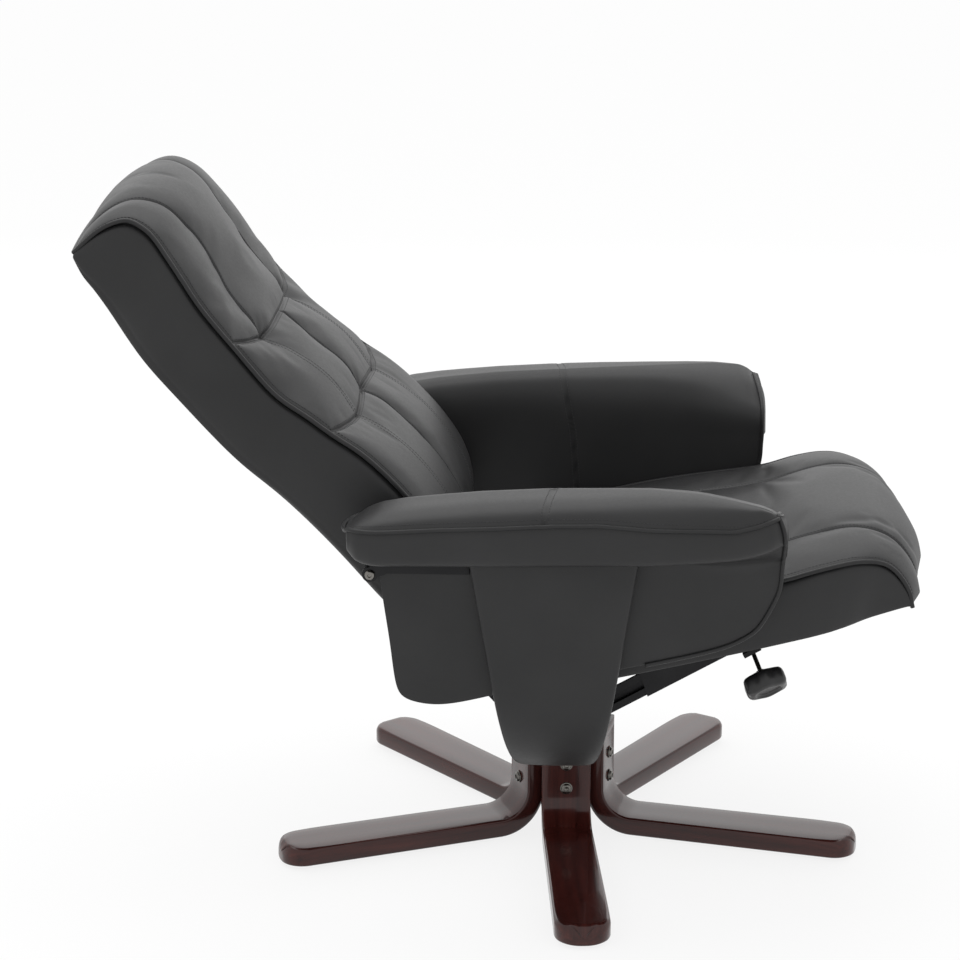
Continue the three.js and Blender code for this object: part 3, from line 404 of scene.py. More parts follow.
def stitched(name, paths, body):
    """A row of thread stitches along each path, half sunk in the leather."""
    points, faces = [], []
    for path in paths:
        path = np.asarray(path, float)
        count = max(2, int(run_of(path)[-1] / STITCH_PITCH))
        places = np.arange(count) + 0.15
        starts = along(path, places / count)
        ends = along(path, np.minimum((places + STITCH_LENGTH / STITCH_PITCH) / count, 1))
        for start, end in zip(starts, ends):
            direction = end - start
            direction /= np.linalg.norm(direction) + 1e-9
            across = np.cross(direction, (0.31, 0.53, 0.79))
            across /= np.linalg.norm(across)
            other = np.cross(direction, across)
            first = len(points)
            points.append(start)
            for share in (0.2, 0.8):
                middle = start + (end - start) * share
                for turn in range(6):
                    angle = turn * math.pi / 3
                    out = math.cos(angle) * across + math.sin(angle) * other
                    points.append(middle + STITCH_RADIUS * out)
            points.append(end)
            for turn in range(6):
                after = (turn + 1) % 6
                faces.append([first, first + 1 + after, first + 1 + turn])
                faces.append([first + 1 + turn, first + 1 + after, first + 7 + after, first + 7 + turn])
                faces.append([first + 13, first + 7 + turn, first + 7 + after])
    placed(add_mesh(name, points, faces, thread), body, "black_leather")


def grid_line(points, places, at, axis):
    """The line of points where a grid's rows or columns reach a place."""
    i = int(np.clip(np.searchsorted(places, at) - 1, 0, len(places) - 2))
    t = (at - places[i]) / (places[i + 1] - places[i])
    grid = points if axis == 0 else points.swapaxes(0, 1)
    return grid[i] * (1 - t) + grid[i + 1] * t


# Materials
def new_material(name):
    material = bpy.data.materials.new(name)
    material.use_nodes = True
    return material, material.node_tree, material.node_tree.nodes["Principled BSDF"]


def join(tree, node, sockets):
    """Sets a node's inputs, each to a value or to another node's output."""
    for name, source in sockets.items():
        if isinstance(source, bpy.types.NodeSocket):
            tree.links.new(source, node.inputs[name])
        else:
            node.inputs[name].default_value = source


def add_node(tree, kind, output, sockets=None):
    """A new node with its inputs set, given as one of its outputs."""
    node = tree.nodes.new(kind)
    join(tree, node, sockets or {})
    return node.outputs[output]


def ramp(tree, source, stops):
    color = add_node(tree, "ShaderNodeValToRGB", "Color", {"Fac": source})
    elements = color.node.color_ramp.elements
    while len(elements) < len(stops):
        elements.new(0.5)
    for element, (place, tone) in zip(elements, stops):
        element.position = place
        element.color = (*tone, 1)
    return color


def noise(tree, place, scale, detail=3, roughness=0.5):
    sockets = {"Scale": scale, "Detail": detail, "Roughness": roughness, "Vector": place}
    return add_node(tree, "ShaderNodeTexNoise", "Fac", sockets)


def stretched(tree, place, scale):
    return add_node(tree, "ShaderNodeMapping", "Vector", {"Vector": place, "Scale": scale})


def mapped(tree, source, low, high):
    return add_node(tree, "ShaderNodeMapRange", "Result", {"To Min": low, "To Max": high, "Value": source})


def bump(tree, height, strength, depth, under=None):
    """A bump of a depth in millimetres, over another one if there is one."""
    sockets = {"Strength": strength, "Distance": depth * MM, "Height": height}
    if under is not None:
        sockets["Normal"] = under
    return add_node(tree, "ShaderNodeBump", "Normal", sockets)


def leather_material(name, dark, light):
    """Black coated leather: a pebbled grain, soft creases, and painted shade that darkens it in the seam
    grooves and under the piping.
    """
    material, tree, shader = new_material(name)
    place = add_node(tree, "ShaderNodeTexCoord", "Object")
    pebbles = add_node(tree, "ShaderNodeTexVoronoi", "Distance", {"Scale": 620, "Vector": place})
    pebbles.node.feature = "DISTANCE_TO_EDGE"
    cloud = noise(tree, place, 7, 4)
    fine = noise(tree, place, 260, 2)
    # painted shade: the seam attribute darkens the leather to near-black in the seam grooves and under the
    # piping
    seam = add_node(tree, "ShaderNodeAttribute", "Fac")
    seam.node.attribute_name = "seam"
    shade = tree.nodes.new("ShaderNodeMix")
    shade.data_type = "RGBA"
    tone = ramp(tree, cloud, [(0.3, dark), (0.7, light)])
    join(tree, shade, {"Factor": seam, "A": tone, "B": (0.006, 0.006, 0.0065, 1)})
    join(tree, shader, {
        "Base Color": shade.outputs["Result"],
        "Roughness": mapped(tree, fine, 0.42, 0.54),
        "Normal": bump(tree, cloud, 0.1, 2, bump(tree, pebbles, 0.12, 0.25)),
        "Specular IOR Level": 0.34,
    })
    return material


def wood_material(name):
    """Red-brown lacquered wood, with its grain along each leg."""
    material, tree, shader = new_material(name)
    place = add_node(tree, "ShaderNodeAttribute", "Vector")
    place.node.attribute_name = "grain"
    streak = noise(tree, stretched(tree, place, (4, 70, 70)), 1.6, 6, 0.62)
    dark, middle, light = (0.018, 0.0042, 0.0036), (0.04, 0.0085, 0.0068), (0.07, 0.016, 0.012)
    join(tree, shader, {
        "Base Color": ramp(tree, streak, [(0.25, dark), (0.5, middle), (0.78, light)]),
        "Roughness": mapped(tree, streak, 0.16, 0.26),
        "Normal": bump(tree, streak, 0.05, 0.3),
        "Specular IOR Level": 0.24,
        "Coat Weight": 0.3,
        "Coat Roughness": 0.04,
    })
    return material


def speckled_material(name, dark, light, rough, metallic=0.0):
    """Metal, plastic or thread: cloudy in tone, with fine specks of gloss."""
    material, tree, shader = new_material(name)
    place = add_node(tree, "ShaderNodeTexCoord", "Object")
    speck = noise(tree, place, 320)
    join(tree, shader, {
        "Base Color": ramp(tree, noise(tree, place, 18), [(0.3, dark), (0.7, light)]),
        "Roughness": mapped(tree, speck, rough - 0.08, rough + 0.1),
        "Normal": bump(tree, speck, 0.1, 0.1),
        "Metallic": metallic,
    })
    return material


def board_material(name):
    """Plywood, stained dark, with its layers showing at the edges."""
    material, tree, shader = new_material(name)
    place = add_node(tree, "ShaderNodeTexCoord", "Object")
    streak = noise(tree, stretched(tree, place, (9, 60, 420)), 1, 4)
    join(tree, shader, {
        "Base Color": ramp(tree, streak, [(0.3, (0.018, 0.015, 0.012)), (0.7, (0.05, 0.04, 0.03))]),
        "Roughness": mapped(tree, streak, 0.7, 0.85),
        "Normal": bump(tree, streak, 0.2, 0.2),
    })
    return material


leather = leather_material("black_leather", (0.015, 0.015, 0.0155), (0.021, 0.021, 0.0215))
piping_leather = leather_material("piping_leather", (0.012, 0.012, 0.0125), (0.018, 0.018, 0.0185))
wood = wood_material("mahogany_lacquer")
steel = speckled_material("black_steel", (0.008, 0.008, 0.009), (0.014, 0.014, 0.015), 0.42, 0.6)
bolt_metal = speckled_material("bolt_metal", (0.13, 0.125, 0.115), (0.22, 0.21, 0.195), 0.26, 1)
nylon = speckled_material("black_nylon", (0.008, 0.008, 0.008), (0.012, 0.012, 0.012), 0.5)
plastic = speckled_material("knob_plastic", (0.006, 0.006, 0.0065), (0.01, 0.01, 0.011), 0.32)
board = board_material("stained_board")
thread = speckled_material("black_thread", (0.016, 0.016, 0.017), (0.028, 0.028, 0.03), 0.62)


# Places in the world
def world_of(x, y, z):
    """Points from millimetres in the chair's own frame: X and Y from the swivel axis, Z from the floor."""
    x, y, z = np.broadcast_arrays(x, y, z)
    return np.stack([AXIS_X + x * MM, AXIS_Y + y * MM, z * MM], axis=-1)


def tilted(tilt):
    """The directions ahead and up, both turned back by a tilt."""
    sine, cosine = math.sin(tilt), math.cos(tilt)
    return np.array([cosine, 0, sine]), np.array([-sine, 0, cosine])


def layout(start_x, start_z, first, second):
    """A function that gives the point some millimetres along two directions and across the chair."""

    def points(p, q, y):
        x = start_x + (p * first[0] + q * second[0]) * MM
        z = start_z + (p * first[2] + q * second[2]) * MM
        x, y, z = np.broadcast_arrays(x, AXIS_Y + y * MM, z)
        return np.stack([x, y, z], axis=-1)

    return points


# The back, measured up along it and out from it, from its pivot
BACK_OUT, BACK_UP = tilted(BACK_TILT)
back_points = layout(PIVOT_X, PIVOT_Z, BACK_UP, BACK_OUT)
BACK_FACE = [
    (-112, -10), (-111, 10), (-103, 33), (-81, 57), (-43, 75), (28, 83.5), (107, 78.7), (151, 67.8),
    (191, 59.4), (233, 50), (296, 51), (375, 55.4), (417, 61.8), (459, 66.5), (489, 67.4),
    (508.5, 62), (519.5, 54.5), (531, 28), (533.5, 0), (533, -22),
]
BACK_REAR = [
    (-125, -29), (-43, -32), (29, -31), (137, -36), (203, -45), (310, -47), (421, -43.5),
    (484, -36), (503, -34.5), (528.5, -27),
]
BACK_TAPER = [(400, 0), (430, 4), (462, 14), (490, 22), (515, 26), (540, 26)]
BACK_LINE_START = 28
BACK_CROWN = [
    (-170, 4), (-100, 8), (0, 9), (60, 8), (99, 8.5), (114, 11), (139, 18), (171, 23), (200, 25),
    (233, 24), (266, 17), (300, 14), (340, 15), (400, 19), (460, 20), (500, 17), (540, 12), (600, 5),
]
BACK_PUFF = [(-170, 4), (0, 7), (266, 8), (300, 7), (480, 7), (600, 4)]
BACK_SIDE_SEAM = [
    (-200, 120), (266, 120), (285, 126), (310, 127), (340, 123), (360, 117), (380, 114), (400, 110),
    (420, 110), (440, 115), (460, 120), (480, 124), (500, 134), (560, 148), (640, 152),
]
NECK_SEAM = [(266, 0), (266, 120), (271, 150), (281, 190), (298, 236)]
LUMBAR_SEAM = [(111, 0), (107, 70), (104, 120), (109, 160), (118, 200), (131, 236)]
MIDDLE_SEAM = [(266, 0), (111, 0), (0, 0), (-190, 0)]
BACK_SEAMS = both_sides(BACK_SIDE_SEAM[1:]) + both_sides(NECK_SEAM) + both_sides(LUMBAR_SEAM) + [MIDDLE_SEAM]
BACK_SEAM_SHARE = 0.51
NECK_LEVEL, LUMBAR_LEVEL = 266, 107
BACK_TUCKS = ((264, 120, 10), (111, 0, 6), (104, 120, 2))
DEEP_TUCK = 5
BACK_DEPTHS = [
    0.012, 0.025, 0.038, 0.055, 0.09, 0.15, 0.24, 0.36, 0.5, 0.64, 0.76, 0.84, 0.88, 0.9, 0.92, 0.95, 0.98,
]
BACK_BULGE = 6.5
BACK_LEVER_ROOM = 4.5
BACK_LEVER = [(-112, 1), (160, 1), (230, 0), (540, 0)]


def back_shape(levels, columns, face_line, start):
    """The padded front of the back on a grid: its places before padding, its lift and its seams."""
    run = run_of(face_line)
    level, spread = np.meshgrid(levels, columns, indexing="ij")
    rows = (levels + start) / run[-1]
    half = BACK_HALF - eased(BACK_TAPER, along(face_line, rows)[:, :1], 15)
    # the rows follow the cross seams, and the columns follow the side seams
    across = np.abs(spread) * BACK_HALF
    s = level.copy()
    for line, middle in ((NECK_SEAM, NECK_LEVEL), (LUMBAR_SEAM, LUMBAR_LEVEL)):
        rise = np.interp(across, [y for _, y in line], [up for up, _ in line]) - middle
        s += rise * hat(level, middle, 85)
    y = fanned(spread, BACK_SEAM_SHARE, table(BACK_SIDE_SEAM, s), half)
    shown = np.clip((s + start) / run[-1], 0, 1) * run[-1]
    place, normal = (
        np.stack([np.interp(shown, run, line[:, k]) for k in (0, 1)], axis=-1)
        for line in (face_line, normals_of(face_line)))
    distance = seam_distance(s, y, BACK_SEAMS)
    edge = np.minimum(half - np.abs(y), np.minimum(s - s.min(), s.max() - s) * 0.8)
    share = np.abs(y) / half
    lift = eased(BACK_CROWN, s, 14) * (1 - share**2.1)
    lift += table(BACK_PUFF, s) * puffed(np.minimum(distance, edge), 48)
    for tuck_s, tuck_y, depth in BACK_TUCKS:
        reach = np.hypot(s - tuck_s, np.abs(y) - tuck_y)
        lift -= depth * bell(reach, 21)
        if depth > DEEP_TUCK:
            turn = np.arctan2(np.abs(y) - tuck_y, s - tuck_s)
            lift += 0.9 * np.sin(7 * turn + 0.6) * np.exp(-reach / 26) * np.clip(reach / 12, 0, 1)
    lift += 0.6 * creased(s, y, (13, 29, 1.3), (17, 31, 0.9), edge) * np.exp(-distance / 45)
    return SimpleNamespace(
        place=place, normal=normal, y=y, lift=np.maximum(lift, 0), distance=distance, edge=edge,
        rows=rows, half=half, share=share, spread=spread)


def make_back():
    face_line = spline(BACK_FACE)
    run = run_of(face_line)
    start = np.interp(BACK_LINE_START, face_line[:600, 0], run[:600])
    columns = graded(-1, 1, (-BACK_SEAM_SHARE, 0, BACK_SEAM_SHARE), BACK_HALF)
    levels = graded(-start, run[-1] - start, (NECK_LEVEL, LUMBAR_LEVEL))
    coarse = np.linspace(levels[0], levels[-1], 101), np.linspace(-1, 1, 79)
    sheet = filled(
        back_points, lambda *grid: back_shape(*grid, face_line, start), (levels, columns), coarse)
    a = raised(back_points, sheet)
    rear = along(spline(BACK_REAR), sheet.rows)
    swell = 4 * (1 - sheet.share**4) * np.sqrt(np.clip(np.sin(math.pi * sheet.rows), 0, 1))[:, None]
    b = back_points(rear[:, :1], rear[:, 1:] - swell, sheet.half * sheet.spread)
    lever = table(BACK_LEVER, sheet.place[:, 0, 0])[:, None]

    def strips(end, t):
        bulge = bulged(t, BACK_BULGE, 3.2)
        cover = BACK_LEVER_ROOM * lever * np.clip((t - 0.35) / 0.2, 0, 1) * np.clip((1 - t) / 0.05, 0, 1)
        recess = -5 * bell(t - 0.035, 0.026)
        rim = -1.2 * bell(t - 0.9, 0.022)
        return bulge + np.minimum(cover, BACK_BULGE - bulge * 0.6).clip(0) + recess + rim

    def caps(end, t):
        return bulged(t, 0 if end else 3)

    # painted shade along the seam grooves, and on the strips in the gap under the piping
    cover = shell(
        "back_cover", a, b, BACK_DEPTHS, (-EAST, EAST), strips, (-BACK_UP, BACK_UP), caps,
        (bell(sheet.distance, PAINTED_SEAM_SHADE), 0), lambda t: bell(t - 0.03, 0.028))
    placed(subdivided(cover), "back", "black_leather", "back_cushion", "back_board")
    lean = sheet.normal[:, 0, :1] * MM * 1.2 * BACK_OUT
    near, far = (a[:, end] + sign * EAST * 1.6 * MM + lean for end, sign in ((0, -1), (-1, 1)))
    add_piping("back_piping", np.r_[near, a[-1, 1:-1], far[::-1]], 2.9, "back")
    beside = STITCH_OFFSET / BACK_HALF
    rows = slice(6, -6)
    upright = (
        (BACK_SEAM_SHARE - beside, rows), (BACK_SEAM_SHARE + beside, rows), (1 - 1.6 * beside, slice(4, -4)),
        (beside, levels < NECK_LEVEL - STITCH_OFFSET),
    )
    paths = [grid_line(a, columns, sign * place, 1)[part] for place, part in upright for _, sign in SIDES]
    for level in (NECK_LEVEL, LUMBAR_LEVEL):
        paths += [grid_line(a, levels, level + sign * STITCH_OFFSET, 0)[3:-3] for _, sign in SIDES]
    stitched("back_stitches", paths, "back")


# The seat, measured forward along it and up from its rear lower corner
SEAT_FORWARD, SEAT_UP = tilted(SEAT_TILT)
seat_points = layout(SEAT_X, SEAT_Z, SEAT_FORWARD, SEAT_UP)
SEAT_TOP = [
    (-10, 50), (-14, 66), (4, 80), (56, 87), (159, 88), (259, 81), (338, 74), (371, 76), (416, 75.7),
    (440, 71), (462.4, 60), (476, 45), (484, 27), (487.8, 10), (487.2, -3),
]
SEAT_TAPER = [(380, 0), (410, 3), (440, 12), (465, 24), (490, 30), (510, 30)]
SEAT_FLOOR = [(0, -5), (145, -8), (290, -9.5), (360, -9), (411, -9), (458, -7.5), (484.5, -5.5)]
SEAT_CROWN = [
    (0, 3), (100, 8), (200, 10), (300, 12), (384, 13), (440, 15), (480, 17), (520, 18.5), (545, 19),
    (600, 17),
]
SEAT_PUFF = [(0, 5), (105, 5), (120, 3.2), (260, 3.2)]
SEAT_SEAM = [(-20, 140), (330, 141), (420, 143), (520, 145), (700, 147)]
SEAT_SEAM_SHARE = 0.55
SEAT_ROWS = 132
SEAT_RIM = 19
SEAT_RIM_FRONT = 452
SEAT_PAN_TOP = 47.2
SEAT_DEPTHS = [0.016, 0.032, 0.05, 0.08, 0.14, 0.24, 0.38, 0.54, 0.7, 0.84, 0.94]


def seat_shape(rows, spread, top_line):
    """The padded top of the seat on a grid: its places before padding, its lift and its seams."""
    top = along(top_line, rows)
    normal = along(np.c_[top_line, normals_of(top_line)], rows)[:, 2:]
    half = SEAT_HALF - eased(SEAT_TAPER, top[:, :1], 8)
    s = (rows * run_of(top_line)[-1])[:, None] + 0 * spread
    y = fanned(spread, SEAT_SEAM_SHARE, table(SEAT_SEAM, s), half)
    distance = seam_distance(s, y, both_sides(SEAT_SEAM))
    edge = np.minimum(half - np.abs(y), s * 0.7)
    lift = eased(SEAT_CROWN, s, 20) * (1 - (np.abs(y) / half) ** 2.6)
    lift += table(SEAT_PUFF, half - np.abs(y)) * puffed(np.minimum(distance, edge), 46)
    lift += 0.5 * creased(s, y, (15, 27, 1.1), (14, 37, 0.8), edge) * np.exp(-distance / 40)
    return SimpleNamespace(
        place=top[:, None], normal=normal[:, None], y=y, lift=lift, distance=distance, edge=edge, half=half)


def make_seat():
    rows = np.linspace(0, 1, SEAT_ROWS)
    top_line = spline(SEAT_TOP)
    inside = 1 - SEAT_RIM / SEAT_HALF
    inner = graded(-inside + 0.004, inside - 0.004, (-SEAT_SEAM_SHARE, SEAT_SEAM_SHARE), SEAT_HALF)
    rim = np.linspace(1, inside, 5)
    spread = np.r_[-rim, inner, rim[::-1]]
    coarse = np.linspace(0, 1, 97), np.linspace(-1, 1, 85)
    sheet = filled(seat_points, lambda *grid: seat_shape(*grid, top_line), (rows, spread), coarse)
    a = raised(seat_points, sheet)
    floor = along(spline(SEAT_FLOOR), rows)
    hollow = (np.abs(spread) < inside) & (floor[:, :1] > SEAT_RIM) & (floor[:, :1] < SEAT_RIM_FRONT)
    under = np.where(hollow, SEAT_PAN_TOP, floor[:, 1:])
    b = seat_points(floor[:, :1], under, sheet.half * spread)

    def strips(end, t):
        recess = -4 * bell(t - 0.045, 0.03)
        return (1.6 + bulged(t, 3.2, 3) + recess) * np.clip(t / 0.02, 0, 1)

    def caps(end, t):
        return bulged(t, 2)

    # painted shade along the seam grooves, and on the strips in the gap under the piping
    cover = shell(
        "seat_cover", a, b, SEAT_DEPTHS, (-EAST, EAST), strips, (-SEAT_FORWARD, -SEAT_UP), caps,
        (bell(sheet.distance, PAINTED_SEAM_SHADE), 0), lambda t: bell(t - 0.04, 0.03))
    placed(
        subdivided(cover), "seat", "black_leather", "seat_cushion", "seat_side_board_near",
        "seat_side_board_far", "seat_rear_board", "seat_front_board")
    for (side, sign), end in zip(SIDES, (0, -1)):
        edge_line = a[:, end] + sign * EAST * 2 * MM
        hang = edge_line[-1] - SEAT_UP * 5 * MM
        add_piping(f"seat_piping_{side}", np.r_[edge_line, hang[None]], 2.9, "seat")
    beside = STITCH_OFFSET / SEAT_HALF
    places = (SEAT_SEAM_SHARE - beside, SEAT_SEAM_SHARE + beside, 1 - 1.6 * beside)
    paths = [grid_line(a, spread, sign * place, 1)[5:-2] for place in places for _, sign in SIDES]
    stitched("seat_stitches", paths, "seat")


# The arms: a leather sheet inside, and outside the panel, the lip's underside, the lip and the top
ARM_REAR, ARM_FRONT = -262, 262.5
ARM_OUTLINE = [
    (-226, 470), (-222, 425), (-214, 360), (-207, 304), (-199, 289), (-182, 281.5), (-148, 279), (-81, 294),
    (0, 314), (81, 333), (200, 364), (228, 378), (242, 389), (253, 406), (263, 427), (270, 448),
    (271.5, 470), (272.5, 486),
]
ARM_CREST = [
    (-262, 531), (-254, 537.5), (-243, 543.5), (-225, 549.5), (-190, 555.5), (-150, 560), (-100, 565),
    (-15, 570), (60, 572.5), (108, 574), (169, 573.5), (206, 571), (243, 566), (256, 560), (262.5, 553),
]
ARM_CREST_OUT = [(-262, 294), (-15, 296), (108, 306), (170, 321), (206, 337), (243, 350), (266, 345)]
ARM_PIPING = [
    (-262, 532), (-218, 533), (-156, 537), (-82, 540), (-18, 544), (42, 545), (108, 540), (168, 540),
    (204, 540), (232, 546), (250, 550.5), (262.5, 551.5),
]
ARM_PIPING_OUT = [
    (-262, 352), (-252, 362), (-232, 369), (-190, 370), (168, 370), (204, 370), (230, 367), (250, 360),
    (266, 348),
]
ARM_LIP = [
    (-262, 503), (-259, 497.5), (-254, 492.5), (-247, 489), (-236, 486.8), (-225, 486), (-74, 487),
    (97, 490), (170, 495), (206, 499), (240, 506), (262.5, 514),
]
ARM_INNER_SHARES = [(0, 0), (0, 0.3), (0.045, 0.55), (0.18, 0.77), (0.48, 0.93), (1, 1)]
ARM_FRONT_SHARES = [(0, 0), (0, 0.27), (0.05, 0.47), (0.2, 0.63), (0.52, 0.85), (1, 1)]
ARM_LIP_ROUND = [(-6, 0.07), (-1, 0.27), (1.5, 0.6), (-1.5, 0.9)]
ARM_REAR_ROUND, ARM_ROUND_FROM, ARM_ROUND_WIDTH = 24, 345, 85
ARM_STATIONS = 132
ARM_STEM, ARM_UNDER, ARM_LIP_ROWS, ARM_TOP = 26, 14, 12, 34
ARM_LIP_AT = ARM_STEM + ARM_UNDER + ARM_LIP_ROWS
ARM_SMOOTH = 7
ARM_PAD_FLOOR = 486
ARM_NOSE = 514
ARM_LEAN = math.radians(7.2)
ARM_PANEL_OUT = 307.5
ARM_WRAP_START = 272
ARM_DEPTHS = [0.06, 0.16, 0.3, 0.5, 0.7, 0.84, 0.94]


def rear_round(y):
    """How far the arm's rear end is drawn forward at a place across it."""
    return ARM_REAR_ROUND * np.clip((ARM_ROUND_FROM - y) / ARM_ROUND_WIDTH, 0, 1) ** 2


def arm_station(low, x_top, x_pad, front, crest, crest_out, piping, piping_out, lip):
    """One section of an arm, up its inside and up its outside, both from the outline to the crest."""
    stem = np.linspace(0, 1, ARM_STEM)
    stem_x = low[0] + (x_top - low[0]) * stem
    stem_z = low[1] + (ARM_PAD_FLOOR - low[1]) * stem

    def ahead(start, z):
        """Where places lie along the arm: they move from the outline's x out to the pad's."""
        nose = np.clip((z - ARM_NOSE) / (crest - ARM_NOSE), 0, 1) ** 2.3
        return x_top + (x_pad - x_top) * ((1 - front) * start + front * nose)

    # inside: straight up from the outline, then over to the crest
    rolled = np.clip((x_pad - 130) / 120, 0, 1) ** 1.5
    shape = np.array(ARM_INNER_SHARES) * (1 - rolled) + np.array(ARM_FRONT_SHARES) * rolled
    size = np.array([crest_out - ARM_INSIDE, crest - ARM_PAD_FLOOR])
    inner = swept(np.array([ARM_INSIDE, ARM_PAD_FLOOR]) + shape * size, 200, ARM_LIP_AT - ARM_STEM + ARM_TOP)
    inner_x = ahead(np.clip((inner[:, 1] - ARM_PAD_FLOOR) / 20, 0, 1), inner[:, 1])
    stem_y = np.full_like(stem, ARM_INSIDE)
    a = np.c_[np.r_[stem_x, inner_x], np.r_[stem_y, inner[:, 0]], np.r_[stem_z, inner[:, 1]]]
    # outside: up the panel, out under the lip, round it to the piping, and over to the crest
    out_y = ARM_PANEL_OUT - (ARM_PAD_FLOOR - stem_z) * math.tan(ARM_LEAN)
    out_y = np.minimum(out_y, piping_out - 12)
    lip_y = piping_out - 13
    middle = ((out_y[-1] + lip_y) / 2, (ARM_PAD_FLOOR + lip) / 2 - 1)
    under = swept([(out_y[-1], ARM_PAD_FLOOR), middle, (lip_y, lip)], 60, ARM_UNDER)
    round_lip = [(piping_out + out, lip + up * (piping - lip)) for out, up in ARM_LIP_ROUND]
    round_lip = swept([(lip_y, lip), *round_lip, (piping_out - 3, piping - 1)], 100, ARM_LIP_ROWS)
    wide, high = piping_out - crest_out, crest - piping
    over = spline([
        (piping_out, piping + 1.5), (piping_out - 0.08 * wide, piping + 1.5 + 0.42 * high),
        (piping_out - 0.32 * wide, piping + 1.5 + 0.79 * high), (piping_out - 0.68 * wide, crest - 0.8),
        (crest_out + 0.04 * wide, crest + 0.1)], 120)
    outer = np.r_[under, round_lip, along(over, np.linspace(0, 1, ARM_TOP))]
    outer_x = ahead(np.clip(np.arange(len(outer)) / (ARM_UNDER / 2), 0, 1), outer[:, 1])
    b = np.c_[np.r_[stem_x, outer_x], np.r_[out_y, outer[:, 0]], np.r_[stem_z, outer[:, 1]]]
    return a, b


def crossing(points, gap, offset, first):
    """The line where each column of a grid, from the first one on, reaches an offset of the gap."""
    return [
        [np.interp(offset, gap[:, k], points[:, k, j]) for j in range(3)]
        for k in range(first, points.shape[1])]


def make_arm(side, sign):
    shares = np.linspace(0, 1, ARM_STATIONS)
    outline = along(spline(ARM_OUTLINE), shares)
    first_x, last_x = outline[0, 0], outline[-1, 0]
    share_x = 0.45 * shares + 0.55 * (outline[:, 0] - first_x) / (last_x - first_x)
    x_pad = ARM_REAR + (ARM_FRONT - ARM_REAR) * share_x
    x_top = first_x + (last_x - first_x) * share_x
    heights = [
        eased(pairs, x_pad, 4) for pairs in (ARM_CREST, ARM_CREST_OUT, ARM_PIPING, ARM_PIPING_OUT, ARM_LIP)]
    stations = [arm_station(*values) for values in zip(outline, x_top, x_pad, shares**2, *heights)]
    a, b = (np.array(sheet) for sheet in zip(*stations))
    columns = b.shape[1]
    # towards the front the panel runs into the lip without a corner
    spare = np.pad(b, ((0, 0), (ARM_SMOOTH, ARM_SMOOTH), (0, 0)), mode="edge")
    window = 2 * ARM_SMOOTH + 1
    smooth = sum(spare[:, k : k + columns] for k in range(window)) / window
    soft = (np.clip((x_pad + 20) / 200, 0, 1) ** 1.5)[:, None] * hat(np.arange(columns), ARM_STEM + 1, 16)
    b[..., 1:] += (smooth - b)[..., 1:] * soft[..., None]
    # in plan the rear end is rounded towards the inside
    for points in (a, b):
        near_rear = np.clip(1 - (points[..., 0] - ARM_REAR) / 80, 0, 1) ** 2
        high = np.clip((points[..., 2] - ARM_PAD_FLOOR) / 25, 0, 1)
        points[..., 0] += rear_round(points[..., 1]) * near_rear * high
    # the seam across the arm, leaning forward as it goes down inside
    a_gap = a[..., 0] - np.interp(a[..., 2], [300, 486, 569], [20, 6, -10])
    b_gap = b[..., 0] - np.interp(b[..., 1], [300, 370], [-10, -20])
    b_far = np.where(np.arange(columns) >= ARM_LIP_AT, b_gap, 99)
    a[..., 1] += 1.5 * bell(a_gap, 3.5)
    b[..., 2] -= 1.5 * bell(b_far, 3.5)
    a, b = (world_of(grid[..., 0], sign * grid[..., 1], grid[..., 2]) for grid in (a, b))

    def strips(end, t):
        return bulged(t, 0 if end else 2)

    def caps(end, t):
        return bulged(t, 7 if end else 6, 2.2)

    forward, down = np.array([1.0, 0, 0]), np.array([0.0, 0, -1])
    # painted shade along the groove of the cross seam, on both sheets
    cover = shell(
        f"arm_cover_{side}", a, b, ARM_DEPTHS, (down, -down), strips, (-forward, forward), caps,
        (bell(a_gap, 1.3), bell(b_far, 1.3)))
    placed(subdivided(cover), "frame", "black_leather", f"arm_pad_{side}", f"arm_panel_{side}")
    outward = sign * EAST
    lip_line = (b[:, ARM_LIP_AT - 1] + b[:, ARM_LIP_AT]) / 2 + outward * 1.2 * MM
    turn = np.linspace(0, 1, 20)
    wrap_y = ARM_WRAP_START + (ARM_PIPING_OUT[0][1] - ARM_WRAP_START) * turn
    wrap_x = ARM_REAR + rear_round(wrap_y) - bulged(turn, 6.5, 2.2)
    wrap = world_of(wrap_x, sign * wrap_y, ARM_PIPING[0][1] - 3.5)
    inner_edge = np.r_[a[-46:-1, 0], a[-1]] + forward * 0.8 * MM - outward * 0.5 * MM
    outer_edge = np.r_[b[-1, ARM_LIP_AT - 1 :: -1], b[-2:-46:-1, 0]] + forward * 0.8 * MM + outward * 0.8 * MM
    welts = {"lip": np.r_[wrap[:-1], lip_line], "front": np.r_[inner_edge, outer_edge]}
    for part, path in welts.items():
        path = along(path, np.linspace(0, 1, int(run_of(path)[-1] / (3 * MM))))
        path[1:-1] = (path[:-2] + path[1:-1] + path[2:]) / 3
        add_piping(f"arm_piping_{part}_{side}", path, 2.8, "frame")
    paths = []
    for offset in (-STITCH_OFFSET, STITCH_OFFSET):
        paths += [crossing(a, a_gap, offset, 4), crossing(b, b_gap, offset, ARM_LIP_AT + 1)]
    paths.append(b[2:-2, ARM_LIP_AT + 3])
    stitched(f"arm_stitches_{side}", paths, "frame")


# The side carriers: leather over a bent board, level at the hub, then up and out to the arm
CARRIER_THICKNESS = 24
CARRIER_BEND = 165
CARRIER_FOOT = 145.2
CARRIER_INNER = 16
CARRIER_FLOOR = 157.6
CARRIER_TOP = 485.5
CARRIER_REAR, CARRIER_FRONT = (47, 115), (33, 97)
CARRIER_SIDES = 44
CARRIER_FULLNESS = 1.6


